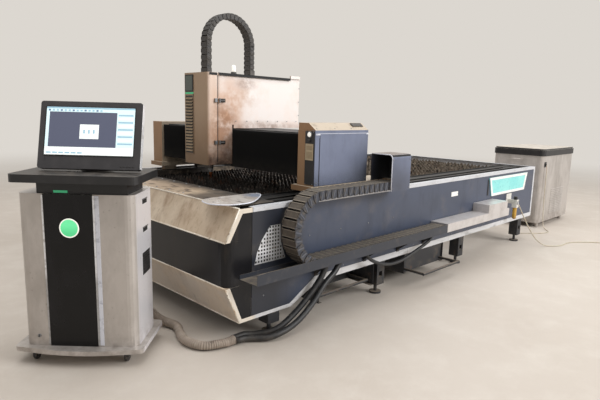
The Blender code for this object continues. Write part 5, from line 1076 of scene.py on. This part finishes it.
def door_edges():
    """Top edge, lower skirt and screws of the head's side door, with dark strips painted as the shade in its top seam,
    and the seam on the cover beside it painted dark as shade.
    """
    face = DOOR_FACE
    shape = bmesh.new()
    # Dark strips along the door's top, painted as the shade in the seam
    blocks(shape, ((0.5535, face - 0.0016, 1.764), (1.33, face - 0.0002, 1.7815)),
           ((0.5535, face - 0.0004, 1.7822), (1.33, face + 0.014, 1.785)),
           ((1.334, face, 1.7822), (1.4505, face + 0.012, 1.807), 1),
           ((0.698, face + 0.0005, 1.3475), (1.4505, face + 0.002, 1.38), 1))
    piece("door_top_edge", shape, (seam_shade, cover_enamel), "head_door")
    shape = bmesh.new()
    # The seam beside the door, painted dark as shade
    blocks(shape, ((0.47, COVER_SIDE - 0.0018, 1.764), (0.542, COVER_SIDE - 0.0003, 1.7835)),
           ((0.544, COVER_SIDE - 0.001, 1.075), (0.5492, COVER_SIDE - 0.0003, 1.764)))
    piece("cover_seam_shade", shape, seam_shade, "head")
    shape = bmesh.new()
    screws(shape, DOOR_SCREW, [(0.72 + k * 0.115, face - 0.0002, 1.405) for k in range(7)])
    screws(shape, DOOR_SCREW, [(1.438, face - 0.0002, z) for z in (1.46, 1.58, 1.7)])
    piece("door_screws", shape, bolt_steel, "head_door")


def cover_lamp():
    """Lamp on the cover: black foot, frosted lens and a bright ring."""
    shape = bmesh.new()
    for profile, coat in ((((0, 0.0262), (0.003, 0.0262), (0.004, 0.0235), (0.019, 0.0226)), 1),
                          (((0.0195, 0.0163), (0.06, 0.0163), (0.07, 0.014), (0.0748, 0.009)), 0),
                          (((0.036, 0.0167), (0.038, 0.0167)), 2)):
        turned(shape, profile, LAMP_FOOT, (0, 0, 1), 28, coat)
    lamp = piece("cover_lamp_lens", shape, (lamp_white, black_powder, trim_enamel), "head")
    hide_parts("cover_lamp")


TORCH_X, TORCH_Y, TORCH_TOP = 0.6, 1.165, 1.52
# Torch barrel as (height, radius), then its nozzle holder and copper nozzle as (depth, radius)
BARREL = (
    (1.52, 0.026), (1.512, 0.033), (1.47, 0.033), (1.466, 0.03), (1.43, 0.03), (1.426, 0.034), (1.33, 0.034),
    (1.326, 0.029), (1.318, 0.029), (1.314, 0.034), (1.2, 0.034), (1.196, 0.03), (1.186, 0.03), (1.182, 0.034),
    (1.09, 0.034), (1.08, 0.03), (1.062, 0.029), (1.058, 0.025), (1.02, 0.024), (1.004, 0.022),
)
HOLDER = (0, 0.021), (0.01, 0.021), (0.014, 0.017), (0.03, 0.016)
NOZZLE = (0, 0.016), (0.016, 0.015), (0.034, 0.0085), (0.0486, 0.0058)


def torch():
    """Cutting torch with its rings, sensor block, screws and nozzle, on the Z plate."""
    x, y, down = TORCH_X, TORCH_Y, (0, 0, -1)
    shape = bmesh.new()
    turned(shape, [(TORCH_TOP - z, r) for z, r in BARREL], (x, y, TORCH_TOP), down, 32)
    turned(shape, HOLDER, (x, y, 1.004), down, 28, 2)
    turned(shape, NOZZLE, (x, y, 0.974), down, 24, 1)
    for k in range(6):
        out = (math.cos(k * math.pi / 3), math.sin(k * math.pi / 3), 0)
        turned(shape, [(0, 0.004), (0.003, 0.004)], (x + 0.0335 * out[0], y + 0.0335 * out[1], 1.382), out, 10, 2)
    blocks(shape, ((0.642, y - 0.074, 1.072), (0.664, y + 0.074, 1.598)),
           ((0.56, y - 0.052, 1.202), (0.643, y + 0.052, 1.318)))
    screws(shape, CLAMP_SCREW, [(0.5603, y + dy, z) for dy in (-0.04, 0.04) for z in (1.222, 1.298)], (-1, 0, 0), 12, 2)
    made = piece("torch", shape, (head_aluminium, copper, bolt_steel), "z_slide", 0.0008)
    shape = bmesh.new()
    blocks(shape, ((0.535, y - 0.045, 1.59), (0.664, y + 0.045, 1.6)),
           ((0.538, y - 0.04, 1.6), (0.5875, y - 0.036, 1.64)))
    piece("chain_shelf", shape, bolt_steel, "z_slide", 0.0006)
    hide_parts("cutting_head")


# ---- Gantry

STRIP_FACE = 0.6755
BOX_FACE = 0.0305
LID_FAR, LID_LEVEL, LID_TOP = 0.1, 1.3678, 1.4205
HOOD_NEAR, HOOD_INNER = 1.3295, 1.335
HOOD_RIM_R = 0.03
BEZEL = (0, 0.0235), (0.0035, 0.0235), (0.0055, 0.0205), (0.0055, 0.0166), (0.003, 0.0165)
KNOB = (0, 0.011), (0.006, 0.011), (0.014, 0.0085), (0.016, 0.007)


def control_strip():
    """Button's bezel, knob, screws and bare label of the control strip."""
    x, near = STRIP_FACE, (-1, 0, 0)
    shape = bmesh.new()
    turned(shape, BEZEL, (x, 0.078, 1.34), near, 32)
    turned(shape, KNOB, (x, 0.078, 1.298), near, 24, 1)
    screws(shape, STRIP_SCREW, [(x, y, z) for z in (1.357, 0.992) for y in (0.044, 0.114)], near, 12)
    piece("strip_fittings", shape, (bolt_steel, black_powder), "gantry", 0.0004)
    shape = bmesh.new()
    blocks(shape, ((x - 0.0013, 0.041, 1.16), (x, 0.117, 1.276)),
           ((x - 0.0016, 0.049, 1.232), (x - 0.0012, 0.109, 1.262), 1),
           ((x - 0.0016, 0.049, 1.172), (x - 0.0012, 0.109, 1.22), 1))
    piece("strip_plate", shape, (plate_beige, plate_shade), "gantry", 0.0004)


def box_lid():
    """Lid of the gantry's end box, its side leaning in, with a dark vent and screws on the lean."""
    foot = Vector((BOX_FACE, LID_LEVEL + 0.003))
    lean = (Vector((LID_FAR, LID_TOP)) - foot).normalized()
    out = Vector((-lean.y, lean.x))
    shape = bmesh.new()
    side = ((BOX_FACE, LID_LEVEL), (0.198, LID_LEVEL), (0.198, LID_TOP), (LID_FAR, LID_TOP), tuple(foot))
    slab(shape, side, 0, 0.6845, 1.2715)
    start, end = foot + lean * 0.04, foot + lean * 0.078
    slab(shape, [tuple(p) for p in (start, end, end + out * 0.006, start + out * 0.006)], 0, 1.12, 1.245, 1)
    spot = foot + lean * 0.018
    screws(shape, LID_SCREW, [(x, *spot) for x in (0.71, 0.9, 1.085)], (0, *out), 12, 2)
    piece("box_lid", shape, (box_enamel, black_powder, bolt_steel), "gantry", 0.001)


def box_edges():
    """Flange of the gantry's side sheet and the hood's rim painted bright as highlights, the sheet's seams and dark
    sheets inside the hood painted as shade, and bolts.
    """
    face, seam = BOX_FACE, 0.004
    shape = bmesh.new()
    # Top flange of the side sheet, painted bright as a highlight
    block(shape, (0.684, face - 0.0032, 1.337), (1.272, face - 0.0002, 1.349))
    left, right, low, top = 0.7285, 1.23, 1.015, 1.313
    # Seams round the panel, painted dark as shade
    for x0, x1, z0, z1 in ((left - seam, left, low - seam, top + seam), (right, right + seam, low, top + seam),
                           (left, right, top + 0.0022, top + 0.0062), (left, right, low - seam, low)):
        block(shape, (x0, face - 0.0008, z0), (x1, face - 0.0002, z1), 1)
    # Hood's rim, painted bright as a highlight
    bend = [(-0.1405 - HOOD_RIM_R * math.sin(a), 1.1585 + HOOD_RIM_R * math.cos(a))
            for a in (math.pi / 2 * k / 6 for k in range(7))]
    rim = ((0.026, 1.1885), (-0.06, 1.1885), (-0.14, 1.1885), *bend, (-0.1705, 1.05), (-0.1705, 0.908))
    swept(shape, [(HOOD_NEAR, y, z) for y, z in rim], 0.004, 10)
    # Dark sheets inside the hood, standing for its shade
    blocks(shape, ((1.5735, -0.168, 0.908), (1.5765, 0.027, 1.186), 1),
           ((HOOD_INNER, -0.168, 1.184), (1.5735, 0.027, 1.1862), 1),
           ((HOOD_INNER, -0.1688, 0.908), (1.5735, -0.1672, 1.184), 1))
    piece("box_edge_highlights_and_shade", shape, (edge_highlight, seam_shade), "gantry")
    shape = bmesh.new()
    screws(shape, COVER_SCREW, [(x, face - 0.0002, 0.999) for x in (0.7, 0.86, 1.02, 1.18, 1.255)])
    screws(shape, COVER_SCREW, [(x, -0.1722, z) for x in (1.345, 1.565) for z in (0.925, 1.15)])
    piece("cover_bolts", shape, bolt_steel, "gantry")


# ---- Bed

DECK_TOP = 0.9065
FASCIA_CREASES = (0.0005, 0.901), (-0.1095, 0.7), (-0.1095, 0.41), (0.001, 0.162)
# Rounded silver plate at the deck's right end, seen from above
NOSE_PLATE = (
    (-0.082, 0.282), (-0.108, 0.205), (-0.106, 0.14), (-0.055, 0.076), (0.031, 0.042), (0.1, 0.044), (0.16, 0.066),
    (0.24, 0.122), (0.325, 0.196), (0.384, 0.262), (0.38, 0.318), (0.3, 0.328), (0.15, 0.332), (0.0, 0.33),
)
NOSE_LOW, NOSE_TOP = 0.9165, 0.9235


def deck_sheet():
    """Sheet over the near deck's frame, screwed down along both edges."""
    shape = bmesh.new()
    block(shape, (0.004, 0.06, 0.903), (0.335, BED_WIDTH - 0.06, DECK_TOP))
    block(shape, (0.132, 0.268, 0.762), (0.298, BED_WIDTH - 0.268, 0.903), 1)
    spots = [(x, 0.7 + k * 0.185, DECK_TOP) for k in range(9) for x in (0.04, 0.3)]
    screws(shape, DECK_SCREW, spots, (0, 0, 1), 16, 3)
    made = piece("deck_sheet", shape, (deck_enamel, frame_primer, deck_steel, bolt_steel), "bed", 0.001)
    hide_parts("end_deck")


def nose_plate():
    """Rounded plate standing off the deck's right end, with its rim painted bright as a highlight, its posts and
    screws.
    """
    count = len(NOSE_PLATE)
    corners = [Vector(p) for p in NOSE_PLATE]
    loop = [tuple(p) for k in range(count)
            for p in smooth_between(*(corners[(k + j - 1) % count] for j in range(4)), 6)]
    shape = bmesh.new()
    slab(shape, loop, 2, NOSE_LOW, NOSE_TOP)
    # Rim bead painted bright as a highlight
    swept(shape, [(x, y, 0.9205) for x, y in loop[:60]], 0.0042, 8, 2)
    for x, y in ((-0.06, 0.19), (0.09, 0.12), (0.215, 0.215), (0.31, 0.28), (0.06, 0.29)):
        turned(shape, [(0, 0.014), (0.01, 0.014)], (max(x, 0.03), y, DECK_TOP + 0.0001), (0, 0, 1), 16, 1)
        turned(shape, PLATE_SCREW, (x, y, NOSE_TOP), (0, 0, 1), 16, 1)
    piece("deck_nose_plate", shape, (deck_steel, bolt_steel, edge_highlight), "bed")


def rail_guards():
    """Sheets that guard the rails on both sides of the table."""
    low, high, lip = 0.8862, 0.8922, 0.003
    shape = bmesh.new()
    near, far = 0.345, 4.44
    for y0, y1, z0, z1, coat in (
            (0.235, 0.33, low, high, 0), (0.33 - lip, 0.33, 0.86, 0.904, 0), (0.01, 0.066, low, high, 0),
            (BED_WIDTH - 0.33, BED_WIDTH - 0.235, low, high, 1),
            (BED_WIDTH - 0.33, BED_WIDTH - 0.33 + lip, 0.86, 0.904, 1),
            (BED_WIDTH - 0.066, BED_WIDTH - 0.01, low, high, 1)):
        block(shape, (near, y0, z0), (far, y1, z1), coat)
    piece("rail_guards", shape, (guard_black, deck_enamel), "bed", 0.001)


def fascia_edges():
    """Rolled edges of the slanted end sheets, along the creases and down the right side, painted bright as highlights.
    """
    shape = bmesh.new()
    for x, z in FASCIA_CREASES:
        swept(shape, [(x, y, z) for y in (0.004, 0.5, 1.2, 1.8, BED_WIDTH - 0.004)], 0.005, 10)
    for a, b in (FASCIA_CREASES[:2], FASCIA_CREASES[2:]):
        slant = [Vector(a).lerp(Vector(b), t) for t in (0.01, 0.5, 0.99)]
        swept(shape, [(p.x, 0.0, p.y) for p in slant], 0.005, 10)
    piece("fascia_rolled_edges", shape, rolled_edge_highlight, "bed")


UNDER_TRAY = 0.4495
GAUGE_FACE = (3.9, -0.1132, 0.535)
GAUGE_RIM = (0, 0.02), (0.004, 0.02), (0.006, 0.018), (0.006, 0.0155), (0.004, 0.015)
BORDER_OUTER = (3.37, 0.846), (4.36, 0.846), (4.3, 0.644), (3.44, 0.644)
BORDER_INNER = (3.412, 0.818), (4.302, 0.818), (4.262, 0.672), (3.47, 0.672)


def side_fittings():
    """Screws, small bare plate and the tray's brackets on the bed's right side."""
    shape = bmesh.new()
    screws(shape, SIDE_SCREW, [(0.62 + k * 0.335, 0.0, 0.64 if k < 4 else 0.35) for k in range(12)])
    screws(shape, SIDE_SCREW, [(0.2 + k * 0.8, 0.0, 0.35 if k else 0.3) for k in range(6)])
    piece("side_screws", shape, bolt_steel, "bed")
    shape = bmesh.new()
    block(shape, (2.58, -0.0016, 0.722), (2.705, -0.0002, 0.766))
    screws(shape, [(0, 0.0024), (0.001, 0.002)], [(x, -0.0016, 0.744) for x in (2.586, 2.699)], sides=10, coat=1)
    piece("small_side_plate", shape, (plate_white, bolt_steel), "bed")
    shape = bmesh.new()
    for x in (0.68, 1.24, 1.7, 2.1):
        gusset = ((-0.15, UNDER_TRAY), (-0.0015, UNDER_TRAY), (-0.0015, 0.345), (-0.01, 0.345))
        slab(shape, gusset, 0, x, x + 0.004)
        block(shape, (x, -0.006, 0.33), (x + 0.04, -0.0006, UNDER_TRAY))
        for z in (0.35, 0.42):
            hexagon_bolt(shape, (x + 0.024, -0.006, z), (0, -1, 0), 0.012, 0.006)
    piece("tray_brackets", shape, frame_primer, "bed", 0.0006)


def lit_plate():
    """White border of the backlit plate, left bare, and the brackets that hold it."""
    shape = bmesh.new()
    rings = [[shape.verts.new((x, y, z)) for x, z in corners]
             for y in (-0.0096, -0.0084) for corners in (BORDER_OUTER, BORDER_INNER)]
    outer, inner, outer_back, inner_back = rings
    for k in range(4):
        n = (k + 1) % 4
        for a, b in ((outer, inner), (outer_back, inner_back), (outer, outer_back), (inner, inner_back)):
            shape.faces.new((a[k], a[n], b[n], b[k]))
    piece("side_plate_border", shape, plate_white, "bed")
    shape = bmesh.new()
    for x in (3.372, 4.27):
        block(shape, (x - 0.03, -0.004, 0.66), (x - 0.004, -0.0004, 0.83))
    piece("side_plate_brackets", shape, black_powder, "bed", 0.0006)


def gauge():
    """Dial of the air regulator, with a needle and no figures."""
    x, y, z = GAUGE_FACE
    shape = bmesh.new()
    turned(shape, GAUGE_RIM, GAUGE_FACE, (0, -1, 0), 28)
    turned(shape, [(0.0042, 0.0148), (0.0046, 0.014)], GAUGE_FACE, (0, -1, 0), 28, 1)
    block(shape, (x - 0.0006, y - 0.0053, z - 0.002), (x + 0.0006, y - 0.0046, z + 0.011), 2)
    piece("regulator_gauge", shape, (bolt_steel, trim_enamel, black_powder), "bed")


# ---- Console

# Width is from one side sheet to the other, depth from the front sheet inward, height from the floor
CONSOLE_SIDE = 0.349
FRONT_LOW, FRONT_TOP = 0.112, 1.004
DISC_CENTRE = (-0.016, -0.0122, 0.818)
DISC_RIM = (0, 0.056), (0.0016, 0.056), (0.003, 0.0545), (0.003, 0.0505), (0.0018, 0.0495)
SCREEN_HOME = Vector((0.0875, 0.03, 1.15))
SCREEN_TILT = math.radians(-15)
SCREEN = Matrix.Translation(CONSOLE @ SCREEN_HOME) @ CONSOLE_TURN @ Matrix.Rotation(SCREEN_TILT, 4, "X")


def console_details():
    """Edge strips, lit disc, slots, louvres, fold, lock and neck light of the console's cabinet."""
    shape = bmesh.new()
    for left, right in ((-0.172, -0.1612), (0.1162, 0.127)):
        block(shape, (left, -0.0042, FRONT_LOW), (right, -0.0002, FRONT_TOP))
    piece("console_edge_strips", shape, vent_zinc, "bed", 0.0012, CONSOLE)
    shape = bmesh.new()
    turned(shape, DISC_RIM, DISC_CENTRE, (0, -1, 0), 48)
    turned(shape, [(0.0018, 0.0492), (0.0022, 0.0485)], DISC_CENTRE, (0, -1, 0), 48, 1)
    piece("lit_disc", shape, (lamp_white, disc_green), "bed", place=CONSOLE)
    shape = bmesh.new()
    side = CONSOLE_SIDE
    inside = side - 0.001
    for low in (0.935, 0.765):
        blocks(shape, ((inside, 0.15, low), (side + 0.0008, 0.235, low + 0.026)),
               ((inside, 0.146, low + 0.026), (side + 0.004, 0.239, low + 0.031), 1))
    block(shape, (inside, 0.13, 0.505), (side + 0.001, 0.27, 0.64))
    for k in range(8):
        z = 0.51 + k * 0.0165
        block(shape, (inside, 0.134, z), (side + 0.0032, 0.266, z + 0.0045), 2)
    piece("console_vents", shape, (dark_slot, bolt_steel, black_powder), "bed", place=CONSOLE)
    shape = bmesh.new()
    # The fold painted bright as a highlight
    block(shape, (0.1285, -0.003, FRONT_LOW), (0.152, -0.0002, FRONT_TOP))
    piece("console_fold", shape, edge_highlight, "bed", 0.001, CONSOLE)
    shape = bmesh.new()
    turned(shape, [(0, 0.011), (0.003, 0.011), (0.004, 0.0095)], (-0.228, -0.0002, 0.165), (0, -1, 0))
    block(shape, (-0.23, -0.0048, 0.157), (-0.226, -0.004, 0.173), 1)
    piece("console_lock", shape, (bolt_steel, dark_slot), "bed", place=CONSOLE)
    shape = bmesh.new()
    block(shape, (-0.105, 0.0085, 1.015), (-0.025, 0.0098, 1.029))
    piece("neck_light", shape, bar_green, "bed", 0.0006, CONSOLE)


MONITOR_HALF, MONITOR_HIGH = 0.2875, 0.385
PICTURE_LEFT, PICTURE_RIGHT = -MONITOR_HALF + 0.036, MONITOR_HALF - 0.04
PICTURE_LOW, PICTURE_TOP = 0.078, MONITOR_HIGH - 0.034
PICTURE_FACE = -0.0026
LIP = 0.006
# Panes of the drawing window: left, right, low and top as shares of the picture, coat, and rise
PANES = [(0, 1, 0, 1, 0, 0.0002), (0, 1, 0.9, 1, 1, 0.0005), (0, 1, 0.965, 1, 4, 0.0007),
         (0.8, 1, 0.165, 0.9, 1, 0.0005), (0, 1, 0, 0.165, 3, 0.0005), (0, 0.035, 0.165, 0.9, 1, 0.0006),
         (0.385, 0.6, 0.34, 0.64, 3, 0.0005)]
PANES += [(0.02 + k * 0.045, 0.045 + k * 0.045, 0.915, 0.95, 4 if k % 3 else 2, 0.0007) for k in range(14)]
PANES += [(0.815, 0.985, 0.83 - k * 0.075, 0.865 - k * 0.075, 3 if k % 2 else 4, 0.0007) for k in range(9)]
PANES += [(0.425 + k * 0.055, 0.445 + k * 0.055, 0.45, 0.53, 4, 0.0007) for k in range(3)]
PANES += [(0.02 + k * 0.07, 0.075 + k * 0.07, 0.03, 0.06, 4, 0.0007) for k in range(6)]


def monitor_details():
    """Picture area of the monitor with its plain panes, the bezel's lip and keys, and the side strip."""
    left, right, low, top = PICTURE_LEFT, PICTURE_RIGHT, PICTURE_LOW, PICTURE_TOP
    wide, high = right - left, top - low
    shape = bmesh.new()
    for s0, s1, z0, z1, coat, rise in PANES:
        block(shape, (left + wide * s0, PICTURE_FACE - rise, low + high * z0),
              (left + wide * s1, PICTURE_FACE + 0.0001, low + high * z1), coat)
    picture = piece("screen_panes", shape, (screen_glow, pane_pale, pane_slate, pane_white, pane_blue), "bed",
                    place=SCREEN)
    shape = bmesh.new()
    for s0, s1, z0, z1 in ((left - LIP, right + LIP, low - LIP, low), (left - LIP, right + LIP, top, top + LIP),
                           (left - LIP, left, low, top), (right, right + LIP, low, top)):
        block(shape, (s0, -0.0022, z0), (s1, -0.0002, z1))
    for k in range(5):
        key = MONITOR_HALF - 0.11 + k * 0.017
        block(shape, (key, -0.002, 0.014), (key + 0.01, -0.0003, 0.019))
    piece("screen_bezel_lip", shape, black_powder, "bed", 0.0008, SCREEN)
    shape = bmesh.new()
    block(shape, (MONITOR_HALF + 0.0004, 0.004, 0.006), (MONITOR_HALF + 0.0026, 0.04, MONITOR_HIGH - 0.006))
    piece("monitor_side_strip", shape, vent_zinc, "bed", 0.0008, SCREEN)
    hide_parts("screen")


# ---- Cabinet

SOCKET = (0, 0.017), (0.004, 0.017), (0.006, 0.013), (0.016, 0.012), (0.018, 0.0075)


def cabinet_details():
    """Cable socket and louvres of the cabinet."""
    shape = bmesh.new()
    turned(shape, SOCKET, CABINET_CABLE[0], (0, -1, 0), 24)
    block(shape, (5.295, 0.1376, 0.835), (5.365, 0.1396, 0.905))
    piece("cabinet_socket", shape, black_powder, "bed", 0.0006)
    shape = bmesh.new()
    for face, out, near, count in ((0.1395, -0.0065, 5.64, 14), (0.8305, 0.0065, 5.52, 12)):
        for k in range(count):
            z = 0.16 + k * 0.026
            fin = ((face, z), (face + out, z + 0.003), (face + out, z + 0.005), (face, z + 0.016))
            slab(shape, fin, 0, near, 6.12)
    piece("cabinet_louvres", shape, brushed_stainless, "bed", 0.0004)


camera()
studio()
cords()
x_chain()
z_chain()
bellows("curtain_right", "bellows_right", 0.2006, 1.0197)
bellows("curtain_left", "bellows_left", 2.0994, 1.3103)
for details in (slats, head_panel, door_hinges, door_edges, cover_lamp, torch, control_strip, box_lid, box_edges,
                deck_sheet, nose_plate, rail_guards, fascia_edges, side_fittings, lit_plate, gauge,
                console_details, monitor_details, cabinet_details):
    details()
bpy.context.scene.view_settings.view_transform = "Standard"
